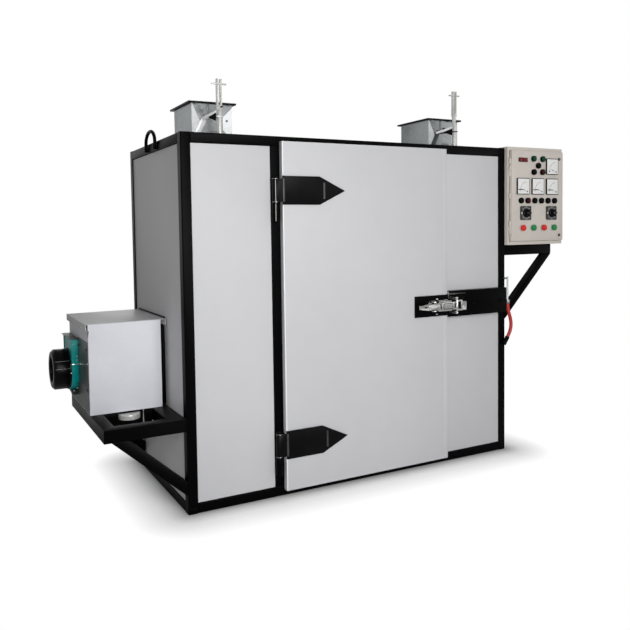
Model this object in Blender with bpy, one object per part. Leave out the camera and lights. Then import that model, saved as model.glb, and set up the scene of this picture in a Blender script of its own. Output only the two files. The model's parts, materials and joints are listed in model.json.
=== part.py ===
"""Industrial oven: welded tube frame, insulated walls, hinged door, burner and control box.

The oven stands on the floor with its front towards -Y and its width along X. The origin is on the
floor, under the middle of the cabinet. All lengths are metres.
"""

import math

import bmesh
import bpy
from mathutils import Matrix, Vector

# Cabinet
WIDTH = 2.0
DEPTH = 0.9
HEIGHT = 1.8
TUBE = 0.05
TUBE_ROUND = 0.004
WALL = 0.1
SKIN_RECESS = 0.005
FIT = 0.0003

# Doorway and door; the hinge post is placed from the cabinet's left side
HINGE_POST_LEFT = 0.459
HINGE_POST_WIDTH = 0.075
DOOR_FROM_POST = 0.046
DOOR_WIDTH = 1.025
DOOR_LAP = 0.025
DOOR_BOTTOM = 0.033
DOOR_TOP_GAP = 0.027
DOOR_SKIN = 0.03
DOOR_STAND_OFF = 0.005
PLUG_CLEARANCE = 0.025
PLUG_DEPTH = 0.06

# Strap hinges
HINGE_AXIS_FROM_POST = 0.013
HINGE_AXIS_FORWARD = 0.021
HINGE_BARREL_RADIUS = 0.0155
HINGE_PIN_RADIUS = 0.006
HINGE_BARREL_HEIGHT = 0.112
HINGE_LUG_HEIGHT = 0.098
HINGE_GAP = 0.002
HINGE_LINK_BACK = 0.004
HINGE_WEB_WIDTH = 0.022
HINGE_CAP_RADIUS = 0.0096
HINGE_CAP_TOP_RADIUS = 0.0072
HINGE_CAP_HEIGHT = 0.006
STRAP_THICKNESS = 0.008
STRAP_SHOULDER = 0.207
STRAP_LENGTH = 0.355
STRAP_HEIGHT = 0.141
HINGE_FROM_END = 0.267

# Door latch
LATCH_HEIGHT = 0.905
LATCH_PLATE_LENGTH = 0.228
LATCH_PLATE_HEIGHT = 0.116
LATCH_PLATE_THICKNESS = 0.01
LATCH_AXIS_FROM_EDGE = 0.108
LATCH_AXIS_FORWARD = 0.078
LATCH_PIN_RADIUS = 0.005
LATCH_PIN_HEIGHT = 0.078
LATCH_CHEEK_THICKNESS = 0.006
LATCH_CHEEK_LENGTH = 0.096
LATCH_CHEEK_RISE = 0.0096
LATCH_HUB_RADIUS = 0.012
LATCH_HUB_HEIGHT = 0.024
LATCH_GRIP_HEIGHT = 0.032
LATCH_GRIP_START = 0.054
LATCH_GRIP_FRONT = 0.0108
LATCH_GRIP_BACK = 0.003
LATCH_TIP_HEIGHT = 0.02
LATCH_LEVER_LENGTH = 0.118
LATCH_SIDE_GAP = 0.001
BAIL_PIN_LEFT = 0.006
BAIL_PIN_FORWARD = 0.014
BAIL_PIN_RADIUS = 0.004
BAIL_ARM_HEIGHT = 0.008
BAIL_BAR_SIZE = 0.01
BAIL_BAR_LENGTH = 0.09
BAIL_BAR_BEYOND_DOOR = 0.022
CATCH_LENGTH = 0.103
CATCH_BASE_DEPTH = 0.004
CATCH_BLOCK_DEPTH = 0.026
CATCH_BLOCK_DROP = 0.008
CATCH_BLOCK_HEIGHT = 0.046
CATCH_BLOCK_LENGTH = 0.04
CATCH_CLAW_THICKNESS = 0.006
CATCH_CLAW_HEIGHT = 0.014
CATCH_CLEARANCE = 0.001
KEEPER_BEYOND_DOOR = 0.007
KEEPER_END = 0.025
KEEPER_BELOW_LATCH = 0.07
KEEPER_HEIGHT = 0.145
KEEPER_DEPTH = 0.038
KEEPER_WALL = 0.004

# Control box on its bracket, right of the cabinet
BRACKET_TUBE = 0.06
CONTROL_BRACE_TUBE = 0.04
CONTROL_ARM_LENGTH = 0.378
CONTROL_ARM_BELOW_ROOF = 0.5728
CONTROL_WIDTH = 0.45
CONTROL_HEIGHT = 0.58
CONTROL_DEPTH = 0.2
CONTROL_FORWARD = 0.02
CONTROL_SHEET = 0.003
CONTROL_RIM = 0.03
CONTROL_DOOR_SIDE = 0.014
CONTROL_DOOR_END = 0.0225
CONTROL_DOOR_DEPTH = 0.0195
CONTROL_HINGE_INSET = 0.0085
CONTROL_HINGE_FORWARD = 0.0105
CONTROL_KNUCKLE_RADIUS = 0.005
CONTROL_KNUCKLE_HEIGHT = 0.03
CONTROL_KNUCKLE_FROM_END = 0.09
METER_SIZE = 0.096
METER_PROUD = 0.008
DISPLAY_WIDTH = 0.068
DISPLAY_HEIGHT = 0.024
DISPLAY_PROUD = 0.004
LAMP_RADIUS = 0.0165
LAMP_PROUD = 0.012
LAMP_BEZEL_PROUD = 0.0072
LAMP_LENS_RADIUS = 0.0115
SWITCH_PLATE = 0.082
SWITCH_PLATE_PROUD = 0.008
KNOB_RADIUS = 0.025
KNOB_DEPTH = 0.012
KNOB_GRIP_DEPTH = 0.018
KNOB_GRIP_WIDTH = 0.014
KNOB_GRIP_LENGTH = 0.043
KNOB_CHAMFER = 0.0025
BUTTON_BEZEL_RADIUS = 0.02
BUTTON_BEZEL_PROUD = 0.006
BUTTON_RADIUS = 0.0155
BUTTON_LENGTH = 0.013
BUTTON_CHAMFER = 0.002
BUTTON_TRAVEL = 0.004
BUTTON_CLEARANCE = 0.0005

# Places on the control door, from its left edge and its bottom edge
METER_COLUMN = 0.086
METER_PITCH = 0.1195
METER_ROW = 0.325
TOP_METER_ROW = 0.446
DISPLAY_COLUMN = 0.088
DISPLAY_ROW = 0.481
LAMP_ROW = 0.24
LAMP_COLUMN = 0.07
LAMP_PITCH = 0.0552
LAMP_COUNT = 6
LAMP_GROUP = ((0.172, 0.489), (0.247, 0.489), (0.21, 0.449), (0.174, 0.41), (0.245, 0.411))
SWITCH_ROW = 0.166
SWITCH_COLUMNS = (0.107, 0.32)
BUTTON_ROW = 0.078
BUTTON_COLUMN = 0.081
BUTTON_PITCH = 0.0855
BUTTON_COUNT = 4

# Burner on its shelf, left of the cabinet
SHELF_REACH = 0.385
SHELF_TOP = 0.46
SHELF_SIDE_TUBE = 0.08
SHELF_BRACE_TOP = 0.351
SHELF_BRACE_CUT = 0.078
SHELF_BRACE_SLOPE = 0.88
BOX_WIDTH = 0.358
BOX_FRONT = 0.29
BOX_HEIGHT = 0.44
BOX_DEPTH = 0.5
LID_THICKNESS = 0.003
LID_LIP = 0.03
LID_OVERHANG = 0.012
BURNER_IN_BOX = 0.36
BURNER_ABOVE_SHELF = 0.175
HOUSING_DEPTH = 0.036
HOUSING_DROP = 0.112
HOUSING_RISE = 0.167
HOUSING_WIDTH = 0.22
INLET_RADIUS = 0.104
INLET_LENGTH = 0.085
INLET_MOUTH_RADIUS = 0.066
INLET_MOUTH_DEPTH = 0.03
INLET_CHAMFER = 0.012
INLET_SIDES = 32

# Roof ducts and their damper rods
DUCT_INSET = 0.1455
DUCT_WIDTH = 0.22
DUCT_DEPTH = 0.27
DUCT_BACK = 0.25
DUCT_HEIGHT = 0.19
DUCT_SHEET = 0.003
DUCT_FLANGE = 0.018
ROD_INSET = 0.2555
ROD_BACK = 0.15
ROD_RADIUS = 0.012
ROD_BELOW_ROOF = 0.18
ROD_TUBE_RISE = 0.15
ROD_RISE = 0.287
ROD_CLEARANCE = 0.001
FORK_WIDTH = 0.026
FORK_DEPTH = 0.018
FORK_SLOT = 0.011
FORK_BASE = 0.008
FORK_SOCKET = 0.01
ROD_HANDLE_RADIUS = 0.004
ROD_HANDLE_LENGTH = 0.078
ROD_HANDLE_DROP = 0.024
RIGHT_ROD_LIFT = 0.05
GUIDE_STRAP_WIDTH = 0.03
GUIDE_STRAP_THICKNESS = 0.005
GUIDE_RISE = 0.105
GUIDE_FOOT_RISE = 0.01
GUIDE_FOOT_OFFSET = 0.058
GUIDE_LEG_SLOPE = 0.5

# Lifting eyes
EYE_BAR_RADIUS = 0.009
EYE_WIDTH = 0.16
EYE_RISE = 0.056
EYE_DROP = 0.043

# Conduit and hose beside the right post
CONDUIT_RADIUS = 0.005
CONDUIT_OUT = 0.007
CONDUIT_FORWARD = 0.014
CONDUIT_DROP = 0.2852
CONDUIT_LENGTH = 0.159
CONDUIT_ELBOW = 0.022
HOSE_RADIUS = 0.01
HOSE_FITTING_RADIUS = 0.0125
HOSE_COLLAR_LENGTH = 0.02
HOSE_FITTING_LENGTH = 0.05
HOSE_FITTING_TILT = 35
HOSE_FITTING_FOOT = 0.02
HOSE_END_OUT = 0.006
HOSE_DROP = 0.202
HOSE_START_REACH = 0.065
HOSE_END_REACH = 0.1
HOSE_STRAIGHT = 0.006
HOSE_STEPS = 6

ROUND_SIDES = 24
SMALL_SIDES = 16
BEND_RESOLUTION = 3

# Places that follow from the sizes
LEFT = -WIDTH / 2
RIGHT = WIDTH / 2
FRONT = -DEPTH / 2
REAR = DEPTH / 2
HINGE_POST_X = LEFT + HINGE_POST_LEFT
DOOR_LEFT_X = HINGE_POST_X + DOOR_FROM_POST
DOOR_RIGHT_X = DOOR_LEFT_X + DOOR_WIDTH
LATCH_POST_X = DOOR_RIGHT_X - DOOR_LAP
HINGE_X = HINGE_POST_X + HINGE_AXIS_FROM_POST
HINGE_Y = FRONT - HINGE_AXIS_FORWARD
LATCH_X = DOOR_RIGHT_X - LATCH_AXIS_FROM_EDGE
BAIL_BAR_X = DOOR_RIGHT_X + BAIL_BAR_BEYOND_DOOR
SHELF_DEPTH = BOX_FRONT + BOX_DEPTH
BURNER_Y = FRONT + BOX_FRONT + BURNER_IN_BOX
BURNER_Z = SHELF_TOP + BURNER_ABOVE_SHELF
CONTROL_ARM_TOP = HEIGHT - CONTROL_ARM_BELOW_ROOF
CONDUIT_BOTTOM = CONTROL_ARM_TOP - BRACKET_TUBE - CONDUIT_DROP

# Colours as linear RGB, roughness and metallic value
FINISHES = {
    "frame_black": ((0.012, 0.012, 0.013), 0.35, 0.0),
    "panel_grey": ((0.56, 0.56, 0.58), 0.42, 0.0),
    "galvanised": ((0.42, 0.45, 0.46), 0.35, 1.0),
    "lining_steel": ((0.5, 0.5, 0.5), 0.4, 1.0),
    "zinc_cast": ((0.6, 0.6, 0.6), 0.3, 1.0),
    "box_beige": ((0.56, 0.52, 0.48), 0.45, 0.0),
    "teal": ((0.0, 0.23, 0.22), 0.4, 0.0),
    "gloss_black": ((0.01, 0.01, 0.01), 0.15, 0.0),
    "button_red": ((0.75, 0.05, 0.03), 0.3, 0.0),
    "button_green": ((0.02, 0.28, 0.12), 0.3, 0.0),
    "hose_red": ((0.5, 0.05, 0.04), 0.5, 0.0),
}


def clear_scene():
    """Remove every object, so that the part starts from nothing."""
    for obj in list(bpy.data.objects):
        bpy.data.objects.remove(obj, do_unlink=True)


def finish(name):
    """Return the named material, made on first use."""
    found = bpy.data.materials.get(name)
    if found:
        return found
    colour, roughness, metallic = FINISHES[name]
    made = bpy.data.materials.new(name)
    made.use_nodes = True
    shader = made.node_tree.nodes["Principled BSDF"]
    shader.inputs["Base Color"].default_value = (*colour, 1.0)
    shader.inputs["Roughness"].default_value = roughness
    shader.inputs["Metallic"].default_value = metallic
    return made


def pivot(name, place):
    """Add an empty on a joint's axis, for the pieces that turn or slide on it."""
    empty = bpy.data.objects.new(name, None)
    bpy.context.collection.objects.link(empty)
    empty.location = place
    return empty


def add_object(name, mesh_data, material, origin, parent=None):
    """Turn a bmesh in world coordinates into an object whose origin is at the given place."""
    mesh_data.transform(Matrix.Translation(-Vector(origin)))
    bmesh.ops.recalc_face_normals(mesh_data, faces=mesh_data.faces)
    mesh = bpy.data.meshes.new(name)
    mesh_data.to_mesh(mesh)
    mesh_data.free()
    obj = bpy.data.objects.new(name, mesh)
    bpy.context.collection.objects.link(obj)
    obj.data.materials.append(finish(material))
    obj.location = Vector(origin)
    if parent:
        obj.parent = parent
        obj.location = Vector(origin) - parent.location
    return obj


def block_mesh(low, high, round_axis=None, radius=TUBE_ROUND):
    """A box between two corners; its edges along round_axis are chamfered by radius."""
    mesh = bmesh.new()
    size = [h - l for l, h in zip(low, high)]
    middle = [(h + l) / 2 for l, h in zip(low, high)]
    bmesh.ops.create_cube(mesh, size=1.0)
    bmesh.ops.scale(mesh, vec=size, verts=mesh.verts)
    if round_axis is not None:
        along = [e for e in mesh.edges if edge_follows(e, round_axis)]
        bmesh.ops.bevel(mesh, geom=along, offset=radius, segments=1, affect="EDGES")
    bmesh.ops.translate(mesh, vec=middle, verts=mesh.verts)
    return mesh


def edge_follows(edge, axis):
    """Whether an edge runs along axis 0, 1 or 2."""
    step = edge.verts[0].co - edge.verts[1].co
    return abs(step[axis]) > 0.5 * step.length


def block(name, low, high, material, parent=None, round_axis=None, origin=None):
    """A box node between two corners."""
    mesh = block_mesh(low, high, round_axis)
    place = origin or [(h + l) / 2 for l, h in zip(low, high)]
    return add_object(name, mesh, material, place, parent)


def prism_mesh(outline, axis, low, high):
    """Extrude an outline along an axis; the outline's points are the other two axes in XYZ order."""
    mesh = bmesh.new()
    others = [i for i in range(3) if i != axis]
    verts = []
    for point in outline:
        place = [0.0, 0.0, 0.0]
        place[others[0]], place[others[1]] = point
        place[axis] = low
        verts.append(mesh.verts.new(place))
    face = mesh.faces.new(verts)
    pushed = bmesh.ops.extrude_face_region(mesh, geom=[face])
    moved = [v for v in pushed["geom"] if isinstance(v, bmesh.types.BMVert)]
    step = [0.0, 0.0, 0.0]
    step[axis] = high - low
    bmesh.ops.translate(mesh, vec=step, verts=moved)
    return mesh


def turned_mesh(profile, axis, centre, sides=ROUND_SIDES):
    """Turn a profile of (distance along the axis, radius) pairs about an axis through centre."""
    mesh = bmesh.new()
    others = [i for i in range(3) if i != axis]
    rings = []
    for along, radius in profile:
        ring = []
        for turn in range(sides if radius > 0 else 1):
            angle = 2 * math.pi * turn / sides
            place = list(centre)
            place[axis] += along
            place[others[0]] += radius * math.cos(angle)
            place[others[1]] += radius * math.sin(angle)
            ring.append(mesh.verts.new(place))
        rings.append(ring)
    for ring, following in zip(rings, rings[1:]):
        for turn in range(sides):
            corners = [ring[turn % len(ring)], ring[(turn + 1) % len(ring)]]
            corners += [following[(turn + 1) % len(following)], following[turn % len(following)]]
            mesh.faces.new(list(dict.fromkeys(corners)))
    for ring in (rings[0], rings[-1]):
        if len(ring) > 1:
            mesh.faces.new(ring)
    return mesh


def rod_mesh(axis, centre, start, end, radius, sides=ROUND_SIDES):
    """A plain round bar from start to end along an axis."""
    return turned_mesh([(start - centre[axis], radius), (end - centre[axis], radius)], axis, centre, sides)


def smooth(obj, angle=35):
    """Shade round faces smooth and keep edges sharper than the angle."""
    obj.data.shade_smooth()
    obj.data.set_sharp_from_angle(angle=math.radians(angle))
    return obj


def combine(obj, meshes, operation):
    """Join or cut an object with each mesh, which stays in the scene as a hidden guide."""
    for number, mesh in enumerate(meshes, start=1):
        bmesh.ops.recalc_face_normals(mesh, faces=mesh.faces)
        guide_name = f"{obj.name}_{operation.lower()}_{number}"
        data = bpy.data.meshes.new(guide_name)
        mesh.to_mesh(data)
        mesh.free()
        guide = bpy.data.objects.new(guide_name, data)
        bpy.context.collection.objects.link(guide)
        guide.hide_render = True
        guide.display_type = "WIRE"
        step = obj.modifiers.new(guide_name, "BOOLEAN")
        step.operation = operation
        step.object = guide
        step.solver = "EXACT"
    return obj


def frame():
    """The cabinet's welded tubes: corner posts, door posts and the beams between them."""
    tall = (0.0, HEIGHT)
    for side, low_x in (("left", LEFT), ("right", RIGHT - TUBE)):
        for end, low_y in (("front", FRONT), ("rear", REAR - TUBE)):
            name = f"frame_post_{end}_{side}"
            low = (low_x, low_y, tall[0])
            block(name, low, (low_x + TUBE, low_y + TUBE, tall[1]), "frame_black", round_axis=2)
        for level, low_z in (("bottom", 0.0), ("top", HEIGHT - TUBE)):
            low = (low_x, FRONT + TUBE + FIT, low_z)
            high = (low_x + TUBE, REAR - TUBE - FIT, low_z + TUBE)
            block(f"frame_beam_{side}_{level}", low, high, "frame_black", round_axis=1)
    for end, low_y in (("front", FRONT), ("rear", REAR - TUBE)):
        for level, low_z in (("bottom", 0.0), ("top", HEIGHT - TUBE)):
            low = (LEFT + TUBE + FIT, low_y, low_z)
            high = (RIGHT - TUBE - FIT, low_y + TUBE, low_z + TUBE)
            block(f"frame_beam_{end}_{level}", low, high, "frame_black", round_axis=0)
    door_posts = (("hinge", HINGE_POST_X, HINGE_POST_WIDTH), ("latch", LATCH_POST_X, TUBE))
    for name, low_x, width in door_posts:
        low = (low_x, FRONT, TUBE + FIT)
        high = (low_x + width, FRONT + TUBE, HEIGHT - TUBE - FIT)
        block(f"frame_post_{name}", low, high, "frame_black", round_axis=2)
    low = (-TUBE / 2, FRONT + TUBE + FIT, 0.0)
    high = (TUBE / 2, REAR - TUBE - FIT, TUBE)
    block("frame_cross_member", low, high, "frame_black", round_axis=1)


def walls():
    """Insulated panels: an outer slab between the tubes and a narrower slab behind it."""
    bottom = TUBE + FIT
    top = HEIGHT - TUBE - FIT
    near = TUBE + FIT
    skin = SKIN_RECESS
    inner = WALL + SKIN_RECESS
    tube_back = REAR - TUBE - FIT
    for side, edge, sign in (("left", LEFT, 1), ("right", RIGHT, -1)):
        outline = [
            (edge + sign * skin, FRONT + near),
            (edge + sign * TUBE, FRONT + near),
            (edge + sign * TUBE, FRONT + inner + FIT),
            (edge + sign * inner, FRONT + inner + FIT),
            (edge + sign * inner, REAR - inner - FIT),
            (edge + sign * TUBE, REAR - inner - FIT),
            (edge + sign * TUBE, tube_back),
            (edge + sign * skin, tube_back),
        ]
        mesh = prism_mesh(outline, 2, bottom, top)
        add_object(f"wall_{side}", mesh, "panel_grey", (edge + sign * skin, 0.0, bottom))
    rear_outline = [
        (LEFT + near, REAR - skin),
        (RIGHT - near, REAR - skin),
        (RIGHT - near, REAR - inner),
        (LEFT + near, REAR - inner),
    ]
    rear_mesh = prism_mesh(rear_outline, 2, bottom, top)
    add_object("wall_rear", rear_mesh, "panel_grey", (0.0, REAR - skin, bottom))
    hinge_side, latch_side = doorway()
    fixed_panels = (
        ("left", LEFT + near, HINGE_POST_X - FIT, hinge_side),
        ("right", RIGHT - near, LATCH_POST_X + TUBE + FIT, latch_side),
    )
    for side, outer, post, jamb in fixed_panels:
        outline = [
            (outer, FRONT + skin),
            (post, FRONT + skin),
            (post, FRONT + TUBE + FIT),
            (jamb, FRONT + TUBE + FIT),
            (jamb, FRONT + inner),
            (outer, FRONT + inner),
        ]
        mesh = prism_mesh(outline, 2, bottom, top)
        add_object(f"front_panel_{side}", mesh, "panel_grey", (outer, FRONT + skin, bottom))


def doorway():
    """The doorway's left and right X, between the door posts."""
    return HINGE_POST_X + HINGE_POST_WIDTH, LATCH_POST_X


def roof_panel():
    """The roof panel with its lintel, open under both ducts and drilled for the rods."""
    inner = WALL + SKIN_RECESS
    low_x, high_x = LEFT + TUBE + FIT, RIGHT - TUBE - FIT
    low_y, high_y = FRONT + TUBE + FIT, REAR - TUBE - FIT
    room_x = RIGHT - inner - FIT
    room_y = REAR - inner - FIT
    roof_low = HEIGHT - TUBE
    lap = TUBE / 2
    outline = [
        (low_x, HEIGHT - SKIN_RECESS),
        (low_x, roof_low),
        (-room_x, roof_low),
        (-room_x, HEIGHT - inner),
        (room_x, HEIGHT - inner),
        (room_x, roof_low),
        (high_x, roof_low),
        (high_x, HEIGHT - SKIN_RECESS),
    ]
    slab = prism_mesh(outline, 1, -room_y, room_y)
    roof = add_object("roof_panel", slab, "panel_grey", (0, 0, roof_low))
    added = []
    for y_low, y_high in ((low_y, lap - room_y), (room_y - lap, high_y)):
        added.append(block_mesh((low_x, y_low, roof_low), (high_x, y_high, HEIGHT - SKIN_RECESS)))
    hinge_side, latch_side = doorway()
    lintel_low = (hinge_side + FIT, low_y, HEIGHT - inner)
    added.append(block_mesh(lintel_low, (latch_side - FIT, lap - room_y, roof_low + lap)))
    combine(roof, added, "UNION")
    cuts = []
    for side in (-1, 1):
        low, high = duct_plan(side)
        cut_low = (low[0] + DUCT_SHEET, low[1] + DUCT_SHEET, HEIGHT - 2 * WALL)
        cuts.append(block_mesh(cut_low, (high[0] - DUCT_SHEET, high[1] - DUCT_SHEET, HEIGHT + WALL)))
        rod = rod_centre(side)
        cuts.append(rod_mesh(2, rod, HEIGHT - 2 * WALL, HEIGHT + WALL, ROD_RADIUS + ROD_CLEARANCE))
    combine(roof, cuts, "DIFFERENCE")


def floor_panel():
    """The floor panel on the base tubes, with its sill in the doorway."""
    inner = WALL + SKIN_RECESS
    room_x = RIGHT - inner - FIT
    room_y = REAR - inner - FIT
    hinge_side, latch_side = doorway()
    sill = FRONT + TUBE + FIT
    outline = [
        (-room_x, room_y),
        (-room_x, -room_y),
        (hinge_side + FIT, -room_y),
        (hinge_side + FIT, sill),
        (latch_side - FIT, sill),
        (latch_side - FIT, -room_y),
        (room_x, -room_y),
        (room_x, room_y),
    ]
    mesh = prism_mesh(outline, 2, TUBE + FIT, inner)
    add_object("floor_panel", mesh, "lining_steel", (0, 0, TUBE + FIT))


def door():
    """The insulated leaf, a skin in front of the frame and a plug in the doorway, and its axis."""
    axis = (HINGE_X, HINGE_Y, 0.0)
    hinge = pivot("door_axis", axis)
    front = door_front()
    back = front + DOOR_SKIN
    left, right = DOOR_LEFT_X, DOOR_RIGHT_X
    top = HEIGHT - DOOR_TOP_GAP
    hinge_side, latch_side = doorway()
    plug_left = hinge_side + PLUG_CLEARANCE
    plug_right = latch_side - PLUG_CLEARANCE
    plug_bottom = WALL + SKIN_RECESS + PLUG_CLEARANCE
    plug_top = HEIGHT - WALL - SKIN_RECESS - PLUG_CLEARANCE
    outline = [
        (left, front),
        (right, front),
        (right, back),
        (plug_right, back),
        (plug_right, FRONT + PLUG_DEPTH),
        (plug_left, FRONT + PLUG_DEPTH),
        (plug_left, back),
        (left, back),
    ]
    plug = prism_mesh(outline, 2, plug_bottom, plug_top)
    leaf = add_object("door_leaf", plug, "panel_grey", axis, hinge)
    skins = []
    for low_z, high_z in ((DOOR_BOTTOM, plug_bottom + WALL), (plug_top - WALL, top)):
        skins.append(block_mesh((left, front, low_z), (right, back, high_z)))
    combine(leaf, skins, "UNION")
    hinge_set("upper", HEIGHT - HINGE_FROM_END, hinge)
    hinge_set("lower", HINGE_FROM_END, hinge)
    latch(hinge)


def door_front():
    """The Y of the door's front face."""
    return FRONT - DOOR_STAND_OFF - DOOR_SKIN


def hinge_set(which, height, parent):
    """A strap with its barrel on the door, and the lug with its pin on the hinge post."""
    axis_x, axis_y = HINGE_X, HINGE_Y
    face = door_front() - FIT
    start = DOOR_LEFT_X
    half = STRAP_HEIGHT / 2
    outline = [
        (start, height - half),
        (start + STRAP_SHOULDER, height - half),
        (start + STRAP_LENGTH, height),
        (start + STRAP_SHOULDER, height + half),
        (start, height + half),
    ]
    strap_mesh = prism_mesh(outline, 1, face - STRAP_THICKNESS, face)
    centre = (axis_x, axis_y, height)
    strap = add_object(f"hinge_strap_{which}", strap_mesh, "frame_black", centre, parent)
    barrel_low = height - HINGE_BARREL_HEIGHT / 2
    barrel_high = height + HINGE_BARREL_HEIGHT / 2
    barrel = rod_mesh(2, centre, barrel_low, barrel_high, HINGE_BARREL_RADIUS)
    edge = start - FIT
    link_outline = [
        (axis_x, axis_y - HINGE_BARREL_RADIUS),
        (start, face - STRAP_THICKNESS),
        (start + STRAP_THICKNESS, face - STRAP_THICKNESS),
        (start + STRAP_THICKNESS, face),
        (edge, face),
        (edge, axis_y + HINGE_LINK_BACK),
        (axis_x, axis_y + HINGE_LINK_BACK),
    ]
    link = prism_mesh(link_outline, 2, barrel_low, barrel_high)
    combine(strap, [link, barrel], "UNION")
    bore_radius = HINGE_PIN_RADIUS + FIT
    bore = rod_mesh(2, centre, barrel_low - WALL, barrel_high + WALL, bore_radius, SMALL_SIDES)
    combine(strap, [bore], "DIFFERENCE")
    lug_high = barrel_low - HINGE_GAP
    lug_low = lug_high - HINGE_LUG_HEIGHT
    cap_low = barrel_high + HINGE_GAP
    profile = [
        (lug_low - height, HINGE_BARREL_RADIUS),
        (lug_high - height, HINGE_BARREL_RADIUS),
        (lug_high - height, HINGE_PIN_RADIUS),
        (cap_low - height, HINGE_PIN_RADIUS),
        (cap_low - height, HINGE_CAP_RADIUS),
        (cap_low + HINGE_CAP_HEIGHT - height, HINGE_CAP_TOP_RADIUS),
    ]
    lug_mesh = turned_mesh(profile, 2, centre)
    lug = add_object(f"hinge_lug_{which}", lug_mesh, "frame_black", centre)
    half_web = HINGE_WEB_WIDTH / 2
    web_low = (axis_x - half_web, axis_y, lug_low)
    combine(lug, [block_mesh(web_low, (axis_x + half_web, FRONT - FIT, lug_high))], "UNION")
    smooth(strap)
    smooth(lug)


def latch(parent):
    """The toggle latch: its base on the door, the lever, the draw bail and the catch."""
    face = door_front() - FIT
    right = DOOR_RIGHT_X
    plate_front = face - LATCH_PLATE_THICKNESS
    low = (right - LATCH_PLATE_LENGTH, plate_front, LATCH_HEIGHT - LATCH_PLATE_HEIGHT / 2)
    high = (right, face, LATCH_HEIGHT + LATCH_PLATE_HEIGHT / 2)
    plate = block("latch_plate", low, high, "frame_black", parent)
    axis = (LATCH_X, FRONT - LATCH_AXIS_FORWARD, LATCH_HEIGHT)
    cheek_inside = LATCH_HUB_HEIGHT / 2 + BAIL_ARM_HEIGHT + 2 * LATCH_SIDE_GAP
    outline = [
        (axis[0] - LATCH_CHEEK_LENGTH / 2, plate_front + FIT),
        (axis[0] - LATCH_HUB_RADIUS, axis[1]),
        (axis[0] - LATCH_HUB_RADIUS / 2, axis[1] - LATCH_CHEEK_RISE),
        (axis[0] + LATCH_HUB_RADIUS / 2, axis[1] - LATCH_CHEEK_RISE),
        (axis[0] + LATCH_HUB_RADIUS, axis[1]),
        (axis[0] + LATCH_CHEEK_LENGTH / 2, plate_front + FIT),
    ]
    upper = LATCH_HEIGHT + cheek_inside
    lower = LATCH_HEIGHT - cheek_inside - LATCH_CHEEK_THICKNESS
    cheeks = [prism_mesh(outline, 2, low_z, low_z + LATCH_CHEEK_THICKNESS) for low_z in (lower, upper)]
    combine(plate, cheeks, "UNION")
    half_pin = LATCH_PIN_HEIGHT / 2
    pin_low, pin_high = LATCH_HEIGHT - half_pin, LATCH_HEIGHT + half_pin
    pin = rod_mesh(2, axis, pin_low, pin_high, LATCH_PIN_RADIUS, SMALL_SIDES)
    combine(plate, [pin], "UNION")
    lever_pivot = child_pivot("latch_lever_axis", axis, parent, parent.location)
    latch_lever(axis, lever_pivot)
    pin_place = (axis[0] - BAIL_PIN_LEFT, axis[1] - BAIL_PIN_FORWARD, LATCH_HEIGHT)
    bail_pivot = child_pivot("latch_bail_axis", pin_place, lever_pivot, axis)
    latch_bail(pin_place, bail_pivot)
    latch_keeper()
    latch_catch(pin_place[1])


def child_pivot(name, place, parent, parent_place):
    """An empty on a joint's axis that rides on another moving piece."""
    empty = pivot(name, Vector(place) - Vector(parent_place))
    empty.parent = parent
    return empty


def latch_lever(axis, parent):
    """The lever: a hub on the latch's pin, bored for the bail's pin, and a tapered grip."""
    half = LATCH_HUB_HEIGHT / 2
    tip = axis[0] - LATCH_LEVER_LENGTH
    hub = LATCH_HUB_RADIUS
    far = axis[1] - BAIL_PIN_FORWARD - 2 * BAIL_PIN_RADIUS
    nose = hub / 2
    grip_front = axis[1] - LATCH_GRIP_FRONT
    grip_back = axis[1] + LATCH_GRIP_BACK
    body = [
        (axis[0] + nose, far),
        (axis[0] + hub, axis[1] - nose),
        (axis[0] + hub, axis[1] + nose),
        (axis[0] + nose, axis[1] + hub),
        (axis[0] - hub, axis[1] + hub),
        (axis[0] - LATCH_GRIP_START, grip_back),
        (axis[0] - LATCH_GRIP_START, grip_front),
        (axis[0] - BAIL_PIN_LEFT - 2 * BAIL_PIN_RADIUS, far),
    ]
    mesh = prism_mesh(body, 2, LATCH_HEIGHT - half, LATCH_HEIGHT + half)
    lever = add_object("latch_lever", mesh, "zinc_cast", axis)
    lever.parent = parent
    lever.location = (0, 0, 0)
    grip_half = LATCH_GRIP_HEIGHT / 2
    tip_half = LATCH_TIP_HEIGHT / 2
    neck = axis[0] - LATCH_GRIP_START + nose
    grip_outline = [
        (tip, LATCH_HEIGHT - tip_half),
        (axis[0] - LATCH_GRIP_START - hub, LATCH_HEIGHT - grip_half),
        (neck, LATCH_HEIGHT - half),
        (neck, LATCH_HEIGHT + half),
        (axis[0] - LATCH_GRIP_START - hub, LATCH_HEIGHT + grip_half),
        (tip, LATCH_HEIGHT + tip_half),
    ]
    grip = prism_mesh(grip_outline, 1, grip_front, grip_back)
    combine(lever, [grip], "UNION")
    pin_centre = (axis[0] - BAIL_PIN_LEFT, axis[1] - BAIL_PIN_FORWARD, LATCH_HEIGHT)
    bores = []
    below, above = LATCH_HEIGHT - WALL, LATCH_HEIGHT + WALL
    for centre, radius in ((axis, LATCH_PIN_RADIUS), (pin_centre, BAIL_PIN_RADIUS)):
        bores.append(rod_mesh(2, centre, below, above, radius + FIT, SMALL_SIDES))
    combine(lever, bores, "DIFFERENCE")
    smooth(lever)


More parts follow.
